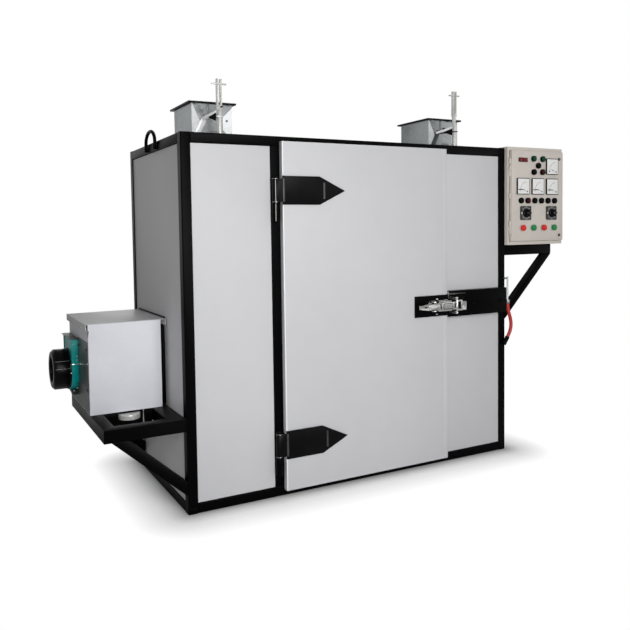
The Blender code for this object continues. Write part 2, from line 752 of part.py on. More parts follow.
def latch_bail(pin, parent):
    """Two arms from a pin in the lever to a cross bar that draws on the catch's claws."""
    inside = LATCH_HUB_HEIGHT / 2 + LATCH_SIDE_GAP
    outside = inside + BAIL_ARM_HEIGHT
    half = BAIL_BAR_SIZE / 2
    bar_x = BAIL_BAR_X
    thin = BAIL_PIN_RADIUS
    low = (pin[0] - thin, pin[1] - thin, LATCH_HEIGHT - outside)
    mesh = block_mesh(low, (bar_x, pin[1] + thin, LATCH_HEIGHT + outside))
    bail = add_object("latch_bail", mesh, "zinc_cast", pin)
    bail.parent = parent
    bail.location = (0, 0, 0)
    gap_low = (pin[0] - 2 * thin, pin[1] - 2 * thin, LATCH_HEIGHT - inside)
    gap = block_mesh(gap_low, (bar_x - 2 * half, pin[1] + 2 * thin, LATCH_HEIGHT + inside))
    combine(bail, [gap], "DIFFERENCE")
    bar_low = (bar_x - half, pin[1] - half, LATCH_HEIGHT - BAIL_BAR_LENGTH / 2)
    bar_high = (bar_x + half, pin[1] + half, LATCH_HEIGHT + BAIL_BAR_LENGTH / 2)
    bar = block_mesh(bar_low, bar_high, 2, half / 2)
    shaft = rod_mesh(2, pin, LATCH_HEIGHT - outside, LATCH_HEIGHT + outside, BAIL_PIN_RADIUS, SMALL_SIDES)
    combine(bail, [bar, shaft], "UNION")


def latch_keeper():
    """The folded channel across the right panel that carries the catch."""
    front = FRONT - KEEPER_DEPTH
    bottom = LATCH_HEIGHT - KEEPER_BELOW_LATCH
    top = bottom + KEEPER_HEIGHT
    outline = [
        (front, bottom),
        (FRONT - FIT, bottom),
        (FRONT - FIT, bottom + KEEPER_WALL),
        (front + KEEPER_WALL, bottom + KEEPER_WALL),
        (front + KEEPER_WALL, top - KEEPER_WALL),
        (FRONT - FIT, top - KEEPER_WALL),
        (FRONT - FIT, top),
        (front, top),
    ]
    left = DOOR_RIGHT_X + KEEPER_BEYOND_DOOR
    mesh = prism_mesh(outline, 0, left, RIGHT - KEEPER_END)
    add_object("latch_keeper", mesh, "frame_black", (left, FRONT, LATCH_HEIGHT))


def latch_catch(bar_y):
    """A base on the keeper with two claws behind the bail's cross bar and a solid block."""
    seat = FRONT - KEEPER_DEPTH - FIT
    claw_face = BAIL_BAR_X - BAIL_BAR_SIZE / 2 - CATCH_CLEARANCE
    start = claw_face - CATCH_CLAW_THICKNESS
    half = BAIL_BAR_LENGTH / 2
    base_front = seat - CATCH_BASE_DEPTH
    low = (start, base_front, LATCH_HEIGHT - half)
    high = (start + CATCH_LENGTH, seat, LATCH_HEIGHT + half)
    catch = block("latch_catch", low, high, "zinc_cast")
    block_bottom = LATCH_HEIGHT - CATCH_BLOCK_DROP - CATCH_BLOCK_HEIGHT / 2
    block_low = (high[0] - CATCH_BLOCK_LENGTH, seat - CATCH_BLOCK_DEPTH, block_bottom)
    raised = [block_mesh(block_low, (high[0], seat - FIT, block_bottom + CATCH_BLOCK_HEIGHT))]
    claw_front = bar_y - BAIL_BAR_SIZE / 2
    for low_z in (LATCH_HEIGHT - half, LATCH_HEIGHT + half - CATCH_CLAW_HEIGHT):
        claw_high = (claw_face, seat - FIT, low_z + CATCH_CLAW_HEIGHT)
        raised.append(block_mesh((start, claw_front, low_z), claw_high))
    combine(catch, raised, "UNION")


def control_plan():
    """The control box's left X, right X, front Y and bottom Z."""
    left = RIGHT + FIT
    return left, left + CONTROL_WIDTH, FRONT - CONTROL_FORWARD, CONTROL_ARM_TOP + FIT


def control_bracket():
    """The arm that carries the control box and its diagonal brace."""
    low = (RIGHT + FIT, FRONT, CONTROL_ARM_TOP - BRACKET_TUBE)
    high = (RIGHT + CONTROL_ARM_LENGTH, FRONT + BRACKET_TUBE, CONTROL_ARM_TOP)
    block("control_arm", low, high, "frame_black", round_axis=0)
    slant = CONTROL_BRACE_TUBE * math.sqrt(2)
    arm_bottom = low[2] - FIT
    start = high[0]
    post = RIGHT + FIT
    outline = [
        (start, arm_bottom),
        (start - slant, arm_bottom),
        (post, arm_bottom - (start - slant - post)),
        (post, arm_bottom - (start - post)),
    ]
    mesh = prism_mesh(outline, 1, FRONT, FRONT + CONTROL_BRACE_TUBE)
    add_object("control_brace", mesh, "frame_black", (post, FRONT, arm_bottom))


def control_box():
    """The sheet-steel box, open to the front behind its rim, and the pins of its door."""
    left, right, front, bottom = control_plan()
    top = bottom + CONTROL_HEIGHT
    back = front + CONTROL_DEPTH
    body = block("control_box", (left, front, bottom), (right, back, top), "box_beige")
    sheet = CONTROL_SHEET
    inside_low = (left + sheet, front + sheet, bottom + sheet)
    inside = block_mesh(inside_low, (right - sheet, back - sheet, top - sheet))
    mouth_low = (left + CONTROL_RIM, front - sheet, bottom + CONTROL_RIM)
    mouth = block_mesh(mouth_low, (right - CONTROL_RIM, front + 2 * sheet, top - CONTROL_RIM))
    combine(body, [inside, mouth], "DIFFERENCE")
    axis_x, axis_y = left + CONTROL_HINGE_INSET, front - CONTROL_HINGE_FORWARD
    lugs = []
    for knuckle_low in control_knuckles():
        low_z = knuckle_low - CONTROL_KNUCKLE_HEIGHT - HINGE_GAP / 2
        high_z = knuckle_low - HINGE_GAP / 2
        centre = (axis_x, axis_y, low_z)
        lugs.append(rod_mesh(2, centre, low_z, high_z, CONTROL_KNUCKLE_RADIUS, SMALL_SIDES))
        half = CONTROL_KNUCKLE_RADIUS / 2
        lugs.append(block_mesh((axis_x - half, axis_y, low_z), (axis_x + half, front + sheet / 2, high_z)))
    combine(body, lugs, "UNION")


def control_knuckles():
    """The bottom heights of the two knuckles on the control box's door."""
    bottom = control_plan()[3]
    lowest = bottom + CONTROL_DOOR_END + CONTROL_KNUCKLE_FROM_END
    door_top = bottom + CONTROL_HEIGHT - CONTROL_DOOR_END
    return lowest, door_top - CONTROL_KNUCKLE_FROM_END - CONTROL_KNUCKLE_HEIGHT


def control_door():
    """The box's door with its instruments, switches and push buttons."""
    left, right, front, bottom = control_plan()
    axis = (left + CONTROL_HINGE_INSET, front - CONTROL_HINGE_FORWARD, bottom)
    hinge = pivot("control_door_axis", axis)
    back = front - FIT
    face = back - CONTROL_DOOR_DEPTH
    low = (left + CONTROL_DOOR_SIDE, face, bottom + CONTROL_DOOR_END)
    high = (right - CONTROL_DOOR_SIDE, back, bottom + CONTROL_HEIGHT - CONTROL_DOOR_END)
    leaf = block("control_door", low, high, "box_beige", hinge, origin=axis)
    sheet = CONTROL_SHEET
    hollow_low = (low[0] + sheet, face + sheet, low[2] + sheet)
    combine(leaf, [block_mesh(hollow_low, (high[0] - sheet, back + sheet, high[2] - sheet))], "DIFFERENCE")
    knuckles = []
    for low_z in control_knuckles():
        high_z = low_z + CONTROL_KNUCKLE_HEIGHT
        centre = (axis[0], axis[1], low_z)
        knuckles.append(rod_mesh(2, centre, low_z, high_z, CONTROL_KNUCKLE_RADIUS, SMALL_SIDES))
        half = CONTROL_KNUCKLE_RADIUS / 2
        web_high = (low[0] + sheet / 2, axis[1] + half, high_z)
        knuckles.append(block_mesh((axis[0], axis[1] - half, low_z), web_high))
    raised = instruments(low[0], low[2], face)
    combine(leaf, knuckles + raised, "UNION")
    for number, column in enumerate(SWITCH_COLUMNS, start=1):
        switch_knob(number, (low[0] + column, face - SWITCH_PLATE_PROUD, low[2] + SWITCH_ROW), hinge)
    for number in range(BUTTON_COUNT):
        place = (low[0] + BUTTON_COLUMN + number * BUTTON_PITCH, face, low[2] + BUTTON_ROW)
        push_button(number, place, hinge)


def instruments(left, bottom, face):
    """Meters, lamps, switch plates and button bezels that stand proud of the control door."""
    sunk = face + CONTROL_SHEET / 2
    raised = []
    meter_places = [(METER_COLUMN + column * METER_PITCH, METER_ROW) for column in range(3)]
    meter_places.append((METER_COLUMN + 2 * METER_PITCH, TOP_METER_ROW))
    half = METER_SIZE / 2
    for x, z in meter_places:
        low = (left + x - half, face - METER_PROUD, bottom + z - half)
        raised.append(block_mesh(low, (left + x + half, sunk, bottom + z + half)))
    wide, tall = DISPLAY_WIDTH / 2, DISPLAY_HEIGHT / 2
    low = (left + DISPLAY_COLUMN - wide, face - DISPLAY_PROUD, bottom + DISPLAY_ROW - tall)
    high = (left + DISPLAY_COLUMN + wide, sunk, bottom + DISPLAY_ROW + tall)
    raised.append(block_mesh(low, high))
    lamp_places = [(LAMP_COLUMN + number * LAMP_PITCH, LAMP_ROW) for number in range(LAMP_COUNT)]
    for x, z in lamp_places + list(LAMP_GROUP):
        centre = (left + x, face, bottom + z)
        profile = [
            (sunk - face, LAMP_RADIUS),
            (-LAMP_BEZEL_PROUD, LAMP_RADIUS),
            (-LAMP_PROUD, LAMP_LENS_RADIUS),
        ]
        raised.append(turned_mesh(profile, 1, centre, SMALL_SIDES))
    half = SWITCH_PLATE / 2
    for column in SWITCH_COLUMNS:
        low = (left + column - half, face - SWITCH_PLATE_PROUD, bottom + SWITCH_ROW - half)
        raised.append(block_mesh(low, (left + column + half, sunk, bottom + SWITCH_ROW + half)))
    for number in range(BUTTON_COUNT):
        centre = (left + BUTTON_COLUMN + number * BUTTON_PITCH, face, bottom + BUTTON_ROW)
        raised.append(ring_mesh(centre, sunk - face, -BUTTON_BEZEL_PROUD))
    return raised


def ring_mesh(centre, start, end):
    """A button's bezel: a ring along Y around the button's bore."""
    inner = BUTTON_RADIUS + BUTTON_CLEARANCE
    mesh = bmesh.new()
    rings = []
    outer = BUTTON_BEZEL_RADIUS
    for along, radius in ((start, inner), (start, outer), (end, outer), (end, inner)):
        ring = []
        for turn in range(ROUND_SIDES):
            angle = 2 * math.pi * turn / ROUND_SIDES
            x = centre[0] + radius * math.cos(angle)
            z = centre[2] + radius * math.sin(angle)
            ring.append(mesh.verts.new((x, centre[1] + along, z)))
        rings.append(ring)
    for ring, following in zip(rings, rings[1:] + rings[:1]):
        for turn in range(ROUND_SIDES):
            after = (turn + 1) % ROUND_SIDES
            mesh.faces.new((ring[turn], ring[after], following[after], following[turn]))
    return mesh


def switch_knob(number, seat, parent):
    """A round rotary knob with a raised grip across it."""
    name = f"switch_knob_{number}"
    centre = (seat[0], seat[1] - FIT, seat[2])
    profile = [
        (0.0, KNOB_RADIUS),
        (KNOB_CHAMFER - KNOB_DEPTH, KNOB_RADIUS),
        (-KNOB_DEPTH, KNOB_RADIUS - KNOB_CHAMFER),
    ]
    knob = add_object(name, turned_mesh(profile, 1, centre), "gloss_black", centre, parent)
    half = KNOB_GRIP_WIDTH / 2
    reach = KNOB_GRIP_LENGTH / 2
    top = centre[1] - KNOB_DEPTH - KNOB_GRIP_DEPTH
    grip_low = (centre[0] - half, top, centre[2] - reach)
    grip = block_mesh(grip_low, (centre[0] + half, centre[1] - KNOB_DEPTH / 2, centre[2] + reach), 1)
    combine(knob, [grip], "UNION")
    smooth(knob)


def push_button(number, seat, parent):
    """One push button in its bezel, red or green by turns."""
    colour = "button_red" if number % 2 == 0 else "button_green"
    back = -(BUTTON_TRAVEL + 2 * BUTTON_CLEARANCE)
    profile = [
        (back, BUTTON_RADIUS),
        (back - BUTTON_LENGTH + BUTTON_CHAMFER, BUTTON_RADIUS),
        (back - BUTTON_LENGTH, BUTTON_RADIUS - BUTTON_CHAMFER),
    ]
    mesh = turned_mesh(profile, 1, seat)
    smooth(add_object(f"push_button_{number + 1}", mesh, colour, seat, parent))


def burner_shelf():
    """The tube shelf on the cabinet's left side and its two braces."""
    left = LEFT - SHELF_REACH
    right = LEFT - FIT
    low_z = SHELF_TOP - BRACKET_TUBE
    high = (right, FRONT + SHELF_DEPTH, SHELF_TOP)
    shelf = block("burner_shelf", (left, FRONT, low_z), high, "frame_black")
    windows = (
        (BRACKET_TUBE, BOX_FRONT),
        (BOX_FRONT + BRACKET_TUBE, SHELF_DEPTH - BRACKET_TUBE),
    )
    cuts = []
    for near, far in windows:
        low = (left + BRACKET_TUBE, FRONT + near, low_z - TUBE)
        cuts.append(block_mesh(low, (right - SHELF_SIDE_TUBE, FRONT + far, SHELF_TOP + TUBE)))
    combine(shelf, cuts, "DIFFERENCE")
    top = low_z - FIT
    outer = LEFT - SHELF_BRACE_TOP
    outline = [
        (outer, top),
        (outer + SHELF_BRACE_CUT, top),
        (right, top - SHELF_BRACE_SLOPE * (right - outer - SHELF_BRACE_CUT)),
        (right, top - SHELF_BRACE_SLOPE * (right - outer)),
    ]
    for end, near in (("front", 0.0), ("rear", SHELF_DEPTH - BRACKET_TUBE)):
        mesh = prism_mesh(outline, 1, FRONT + near, FRONT + near + BRACKET_TUBE)
        add_object(f"burner_brace_{end}", mesh, "frame_black", (outer, FRONT + near, top))


def burner_box():
    """The sheet box over the burner's flame tube, with its lid."""
    left = LEFT - SHELF_REACH
    low = (left, FRONT + BOX_FRONT, SHELF_TOP + FIT)
    high = (left + BOX_WIDTH, FRONT + BOX_FRONT + BOX_DEPTH, SHELF_TOP + BOX_HEIGHT)
    block("burner_box", low, high, "panel_grey")
    over = LID_OVERHANG
    lid_low = (low[0] - over, low[1] - over / 4, high[2] - LID_LIP)
    lid_high = (LEFT - FIT, high[1] + over, high[2] + FIT + LID_THICKNESS)
    lid = block("burner_box_lid", lid_low, lid_high, "panel_grey")
    space_low = (low[0] - over + LID_THICKNESS, low[1] - TUBE, lid_low[2] - TUBE)
    space_high = (lid_high[0] - LID_THICKNESS, high[1] + over - LID_THICKNESS, high[2] + FIT)
    combine(lid, [block_mesh(space_low, space_high)], "DIFFERENCE")


def burner():
    """The burner's housing, round below and square above, and its round air inlet."""
    wall = LEFT - SHELF_REACH
    middle_y = BURNER_Y
    back = wall - FIT
    front = back - HOUSING_DEPTH
    half = HOUSING_WIDTH / 2
    outline = []
    steps = ROUND_SIDES // 2
    for step in range(steps + 1):
        angle = math.pi + math.pi * step / steps
        outline.append((middle_y + half * math.cos(angle), BURNER_Z + HOUSING_DROP * math.sin(angle)))
    outline.append((middle_y + half, BURNER_Z + HOUSING_RISE))
    outline.append((middle_y - half, BURNER_Z + HOUSING_RISE))
    housing_mesh = prism_mesh(outline, 0, front, back)
    add_object("burner_housing", housing_mesh, "teal", (back, middle_y, BURNER_Z))
    seat = front - FIT
    profile = [
        (0.0, INLET_RADIUS),
        (-INLET_LENGTH + INLET_CHAMFER, INLET_RADIUS),
        (-INLET_LENGTH, INLET_RADIUS - INLET_CHAMFER),
        (-INLET_LENGTH, INLET_MOUTH_RADIUS),
        (-INLET_LENGTH + INLET_MOUTH_DEPTH, INLET_MOUTH_RADIUS),
    ]
    centre = (seat, middle_y, BURNER_Z)
    inlet_mesh = turned_mesh(profile, 0, centre, INLET_SIDES)
    smooth(add_object("burner_air_inlet", inlet_mesh, "gloss_black", centre))


def duct_plan(side):
    """The low and high XY corners of the left (-1) or right (1) duct."""
    near = RIGHT - DUCT_INSET
    low_x = -near if side < 0 else near - DUCT_WIDTH
    low_y = FRONT + DUCT_BACK
    return (low_x, low_y), (low_x + DUCT_WIDTH, low_y + DUCT_DEPTH)


def rod_centre(side):
    """A point on the left (-1) or right (1) damper rod's axis, at roof height."""
    return (side * (RIGHT - ROD_INSET), FRONT + ROD_BACK, HEIGHT)


def ducts():
    """Both square ducts with their top flanges, rod guides and damper rods."""
    seat = HEIGHT - SKIN_RECESS + FIT
    top = HEIGHT + DUCT_HEIGHT
    over, sheet = DUCT_FLANGE, DUCT_SHEET
    for side, word in ((-1, "left"), (1, "right")):
        low, high = duct_plan(side)
        duct = block(f"duct_{word}", (*low, seat), (*high, top), "galvanised")
        flange_low = (low[0] - over, low[1] - over, top - sheet)
        flange = block_mesh(flange_low, (high[0] + over, high[1] + over, top))
        combine(duct, [flange], "UNION")
        bore_low = (low[0] + sheet, low[1] + sheet, seat - TUBE)
        bore = block_mesh(bore_low, (high[0] - sheet, high[1] - sheet, top + TUBE))
        combine(duct, [bore], "DIFFERENCE")
        rod_guide(word, side, low[1])
        damper_rod(word, side)


def rod_guide(word, side, duct_front):
    """A strap with a slanting leg on the duct's front and an eye around the rod."""
    centre = rod_centre(side)
    back = duct_front - FIT
    thick = GUIDE_STRAP_THICKNESS
    top = HEIGHT + GUIDE_RISE
    foot_left = centre[0] - GUIDE_FOOT_OFFSET
    foot_right = foot_left + GUIDE_STRAP_WIDTH
    foot_low = HEIGHT + GUIDE_FOOT_RISE
    lean = GUIDE_LEG_SLOPE * (top - foot_low)
    leg = [
        (foot_left - lean, foot_low),
        (foot_right - lean, foot_low),
        (foot_right, top),
        (foot_left, top),
    ]
    half = GUIDE_STRAP_WIDTH / 2
    arm = [
        (foot_left, back - thick / 2),
        (foot_right, back - thick / 2),
        (centre[0] + half, centre[1] + half),
        (centre[0] + half, centre[1] - half),
        (centre[0] - half, centre[1] - half),
    ]
    arm_mesh = prism_mesh(arm, 2, top - thick, top)
    name = f"rod_guide_{word}"
    leg_mesh = prism_mesh(leg, 1, back - thick, back)
    guide = add_object(name, leg_mesh, "galvanised", (foot_left, back, top))
    combine(guide, [arm_mesh], "UNION")
    hole_radius = ROD_RADIUS + ROD_CLEARANCE
    hole = rod_mesh(2, centre, top - TUBE, top + TUBE, hole_radius)
    combine(guide, [hole], "DIFFERENCE")


def damper_rod(word, side):
    """The sliding rod: a tube below, a fork above and a cross handle through the fork."""
    centre = rod_centre(side)
    lift = RIGHT_ROD_LIFT if side > 0 else 0.0
    axis = pivot(f"damper_rod_axis_{word}", centre)
    shoulder = HEIGHT + ROD_TUBE_RISE + lift
    top = HEIGHT + ROD_RISE + lift
    mesh = rod_mesh(2, centre, HEIGHT - ROD_BELOW_ROOF + lift, shoulder, ROD_RADIUS)
    rod = add_object(f"damper_rod_{word}", mesh, "galvanised", centre, axis)
    wide, deep = FORK_WIDTH / 2, FORK_DEPTH / 2
    fork_low = (centre[0] - wide, centre[1] - deep, shoulder - FORK_SOCKET)
    fork = block_mesh(fork_low, (centre[0] + wide, centre[1] + deep, top))
    slot_half = FORK_SLOT / 2
    slot_low = (centre[0] - slot_half, centre[1] - TUBE, shoulder + FORK_BASE)
    slot = block_mesh(slot_low, (centre[0] + slot_half, centre[1] + TUBE, top + TUBE))
    handle_centre = (centre[0], centre[1], top - ROD_HANDLE_DROP)
    half = ROD_HANDLE_LENGTH / 2
    start, end = centre[0] - half, centre[0] + half
    handle = rod_mesh(0, handle_centre, start, end, ROD_HANDLE_RADIUS, SMALL_SIDES)
    combine(rod, [fork], "UNION")
    combine(rod, [slot], "DIFFERENCE")
    combine(rod, [handle], "UNION")
    smooth(rod)


def lifting_eyes():
    """A bent round bar welded to the outside of each side beam."""
    bend_steps = ROUND_SIDES // 2
    half = EYE_WIDTH / 2
    foot = HEIGHT - EYE_DROP
    for side, word in ((-1, "left"), (1, "right")):
        x = side * (RIGHT + EYE_BAR_RADIUS + FIT)
        points = [(x, -half, foot)]
        for step in range(bend_steps + 1):
            angle = math.pi - math.pi * step / bend_steps
            points.append((x, half * math.cos(angle), HEIGHT + EYE_RISE * math.sin(angle)))
        points.append((x, half, foot))
        tube_along(f"lifting_eye_{word}", points, EYE_BAR_RADIUS, "frame_black")


def tube_along(name, points, radius, material):
    """A round bar or hose along points, as a curve with filled caps."""
    curve = bpy.data.curves.new(name, "CURVE")
    curve.dimensions = "3D"
    curve.bevel_depth = radius
    curve.bevel_resolution = BEND_RESOLUTION
    curve.render_resolution_u = 0
    curve.use_fill_caps = True
    spline = curve.splines.new("POLY")
    spline.points.add(len(points) - 1)
    for spot, point in zip(spline.points, points):
        spot.co = (*point, 1.0)
    obj = bpy.data.objects.new(name, curve)
    bpy.context.collection.objects.link(obj)
    obj.data.materials.append(finish(material))
    return obj


def conduit_and_hose():
    """The thin conduit out of the right post and the red hose that loops back to the post."""
    x = RIGHT + CONDUIT_OUT
    y = FRONT - CONDUIT_FORWARD
    centre = (x, y, CONDUIT_BOTTOM)
    profile = [
        (0.0, HOSE_FITTING_RADIUS),
        (HOSE_COLLAR_LENGTH, HOSE_FITTING_RADIUS),
        (HOSE_COLLAR_LENGTH, CONDUIT_RADIUS),
        (CONDUIT_LENGTH, CONDUIT_RADIUS),
    ]
    mesh = turned_mesh(profile, 2, centre, SMALL_SIDES)
    conduit = add_object("conduit", mesh, "galvanised", centre)
    elbow_top = CONDUIT_BOTTOM + CONDUIT_LENGTH - CONDUIT_RADIUS
    elbow_low = (x - CONDUIT_ELBOW, y - CONDUIT_RADIUS / 2, elbow_top - 2 * CONDUIT_RADIUS)
    elbow = block_mesh(elbow_low, (x, FRONT - FIT, elbow_top))
    combine(conduit, [elbow], "UNION")
    tilt = math.radians(HOSE_FITTING_TILT)
    away = Vector((math.sin(tilt), 0, math.cos(tilt)))
    mouth = Vector((RIGHT + HOSE_END_OUT, y, CONDUIT_BOTTOM - HOSE_DROP))
    start = Vector((x, y, CONDUIT_BOTTOM - FIT))
    tube_along("hose", hose_route(start, mouth + away * FIT, away), HOSE_RADIUS, "hose_red")
    hose_fitting(mouth, tilt)


def hose_fitting(mouth, tilt):
    """The tilted end fitting of the hose and the foot that holds it to the post."""
    profile = [
        (-HOSE_FITTING_LENGTH, HOSE_FITTING_RADIUS),
        (0.0, HOSE_FITTING_RADIUS),
    ]
    mesh = turned_mesh(profile, 2, (0, 0, 0), SMALL_SIDES)
    mesh.transform(Matrix.Translation(mouth) @ Matrix.Rotation(tilt, 4, "Y"))
    fitting = add_object("hose_fitting", mesh, "frame_black", mouth)
    length = HOSE_FITTING_LENGTH - HOSE_FITTING_RADIUS
    end_x = mouth.x - length * math.sin(tilt)
    end_z = mouth.z - length * math.cos(tilt)
    half = HOSE_FITTING_FOOT / 2
    foot_low = (end_x - half, mouth.y, end_z - half)
    foot = block_mesh(foot_low, (end_x + half, FRONT - FIT, end_z + half))
    combine(fitting, [foot], "UNION")


def hose_route(start, end, away):
    """A smooth curve down from the conduit, out to the right and back along the end fitting."""
    down = Vector((0, 0, -1))
    first, last = start + down * HOSE_STRAIGHT, end + away * HOSE_STRAIGHT
    handles = (first, first + down * HOSE_START_REACH, last + away * HOSE_END_REACH, last)
    points = [tuple(start)]
    for step in range(HOSE_STEPS + 1):
        t = step / HOSE_STEPS
        weights = ((1 - t) ** 3, 3 * t * (1 - t) ** 2, 3 * t * t * (1 - t), t ** 3)
        points.append(tuple(sum((h * w for h, w in zip(handles, weights)), Vector())))
    return points + [tuple(end)]


def main():
    """Build the oven."""
    clear_scene()
    frame()
    walls()
    roof_panel()
    floor_panel()
    door()
    control_bracket()
    control_box()
    control_door()
    burner_shelf()
    burner_box()
    burner()
    ducts()
    lifting_eyes()
    conduit_and_hose()


main()
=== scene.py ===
"""Looks of a walk-in industrial oven with a side burner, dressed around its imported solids.

Every length is in metres, in the frame of the solids: X runs along the front, Y from the front to
the back, and Z up from the floor.
"""

import sys
import json
import logging
import math
from dataclasses import dataclass
from enum import Enum
from functools import cache
from typing import Callable, Self, Sequence

import bmesh
import bpy
from mathutils import Euler, Matrix, Vector

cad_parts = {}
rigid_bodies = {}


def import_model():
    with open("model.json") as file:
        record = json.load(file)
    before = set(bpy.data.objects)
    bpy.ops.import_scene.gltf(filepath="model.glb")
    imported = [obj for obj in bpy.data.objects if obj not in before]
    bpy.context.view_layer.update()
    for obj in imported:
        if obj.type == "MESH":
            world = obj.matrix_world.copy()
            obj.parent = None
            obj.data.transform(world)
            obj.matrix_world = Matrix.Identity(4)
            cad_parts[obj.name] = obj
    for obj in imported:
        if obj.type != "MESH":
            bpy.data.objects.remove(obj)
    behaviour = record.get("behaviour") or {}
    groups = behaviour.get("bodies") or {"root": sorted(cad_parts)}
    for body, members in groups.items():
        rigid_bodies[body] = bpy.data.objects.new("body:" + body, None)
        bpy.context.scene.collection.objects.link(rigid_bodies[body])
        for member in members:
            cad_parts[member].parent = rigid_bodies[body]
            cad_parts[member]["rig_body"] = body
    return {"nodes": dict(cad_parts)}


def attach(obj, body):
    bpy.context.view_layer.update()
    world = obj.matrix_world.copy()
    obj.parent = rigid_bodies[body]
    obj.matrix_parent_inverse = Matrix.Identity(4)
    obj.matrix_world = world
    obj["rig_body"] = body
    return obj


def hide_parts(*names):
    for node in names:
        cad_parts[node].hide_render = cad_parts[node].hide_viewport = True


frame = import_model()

log = logging.getLogger("oven")

Point = Sequence[float]
Pair = tuple[float, float]
Triple = tuple[float, float, float]
Test = Callable[[Vector, Vector], bool]
Where = Callable[[Vector], bool]
Rgba = tuple[float, float, float, float]
Piece = bpy.types.Object
Socket = bpy.types.NodeSocket
Sockets = tuple[Socket, Socket]

# From this share of a direction on, a face or an edge counts as lying along it
ALONG = 0.9


class Slot(str, Enum):
    """The record's material slots."""

    FRAME = "frame_black"
    PANEL = "panel_grey"
    GALVANISED = "galvanised"
    LINING = "lining_steel"
    CAST = "zinc_cast"
    BEIGE = "box_beige"
    TEAL = "teal"
    GLOSS = "gloss_black"
    RED = "button_red"
    GREEN = "button_green"
    HOSE = "hose_red"


class Axis(Enum):
    """The three directions of the part's frame."""

    X = Vector((1, 0, 0))
    Y = Vector((0, 1, 0))
    Z = Vector((0, 0, 1))


class Way(Enum):
    """The six ways that a face can look."""

    LEFT = Vector((-1, 0, 0))
    RIGHT = Vector((1, 0, 0))
    FRONT = Vector((0, -1, 0))
    BACK = Vector((0, 1, 0))
    DOWN = Vector((0, 0, -1))
    UP = Vector((0, 0, 1))


class Wiring:
    """Adds nodes to one shader tree and joins their sockets."""

    def __init__(self, tree: bpy.types.NodeTree) -> None:
        """Starts on a tree.

        Args:
            tree: the node tree that takes the nodes.
        """
        self.tree = tree

    def add(self, kind: str, inputs: dict | None = None, **settings: object) -> bpy.types.Node:
        """Adds a node.

        Args:
            kind: the node's type name.
            inputs: values or sockets, by input name or number.
            settings: the node's own settings.

        Returns:
            The new node.
        """
        node = self.tree.nodes.new(kind)
        for key, value in settings.items():
            setattr(node, key, value)
        for key, value in (inputs or {}).items():
            self.feed(node.inputs[key], value)
        return node

    def feed(self, socket: Socket, value: object) -> None:
        """Links a socket to an input, or sets the input's own value.

        Args:
            socket: the input.
            value: a socket or a plain value.
        """
        if isinstance(value, Socket):
            self.tree.links.new(value, socket)
        else:
            socket.default_value = value

    def math(self, operation: str, first: object, second: object = 0.0) -> Socket:
        """Does sums on one or two values, and returns the result's socket."""
        return self.add("ShaderNodeMath", {0: first, 1: second}, operation=operation).outputs[0]

    def vector(self, operation: str, *values: object) -> Socket:
        """Does sums on vectors, and returns the result's socket."""
        node = self.add("ShaderNodeVectorMath", dict(enumerate(values)), operation=operation)
        return node.outputs["Value" if operation in ("LENGTH", "DOT_PRODUCT") else 0]

    def mix(self, share: object, first: object, second: object, mode: str = "MIX") -> Socket:
        """Mixes two colours.

        Args:
            share: how much of the second colour shows.
            first: the first colour.
            second: the second colour.
            mode: how they are mixed.

        Returns:
            The mixed colour's socket.
        """
        node = self.add("ShaderNodeMix", data_type="RGBA", blend_type=mode)
        for number, value in ((0, share), (6, first), (7, second)):
            self.feed(node.inputs[number], value)
        return node.outputs[2]

    def remap(self, value: object, start: Pair, end: Sequence, soft: bool = False) -> Socket:
        """Maps a value from one range to another.

        Args:
            value: the value's socket.
            start: the range it has.
            end: the range it gets.
            soft: whether both ends are eased.

        Returns:
            The mapped value's socket.
        """
        kind = "SMOOTHSTEP" if soft else "LINEAR"
        wanted = {0: value, 1: start[0], 2: start[1], 3: end[0], 4: end[1]}
        return self.add("ShaderNodeMapRange", wanted, interpolation_type=kind).outputs[0]

    def place(self, size: object) -> dict[str, Socket]:
        """Adds what a texture reads: the place on the piece, and a scale.

        Args:
            size: how large the texture's pattern is.

        Returns:
            The texture's inputs, by name.
        """
        spot = self.add("ShaderNodeTexCoord").outputs["Object"]
        return {"Vector": spot, "Scale": self.math("DIVIDE", 1.0, size)}


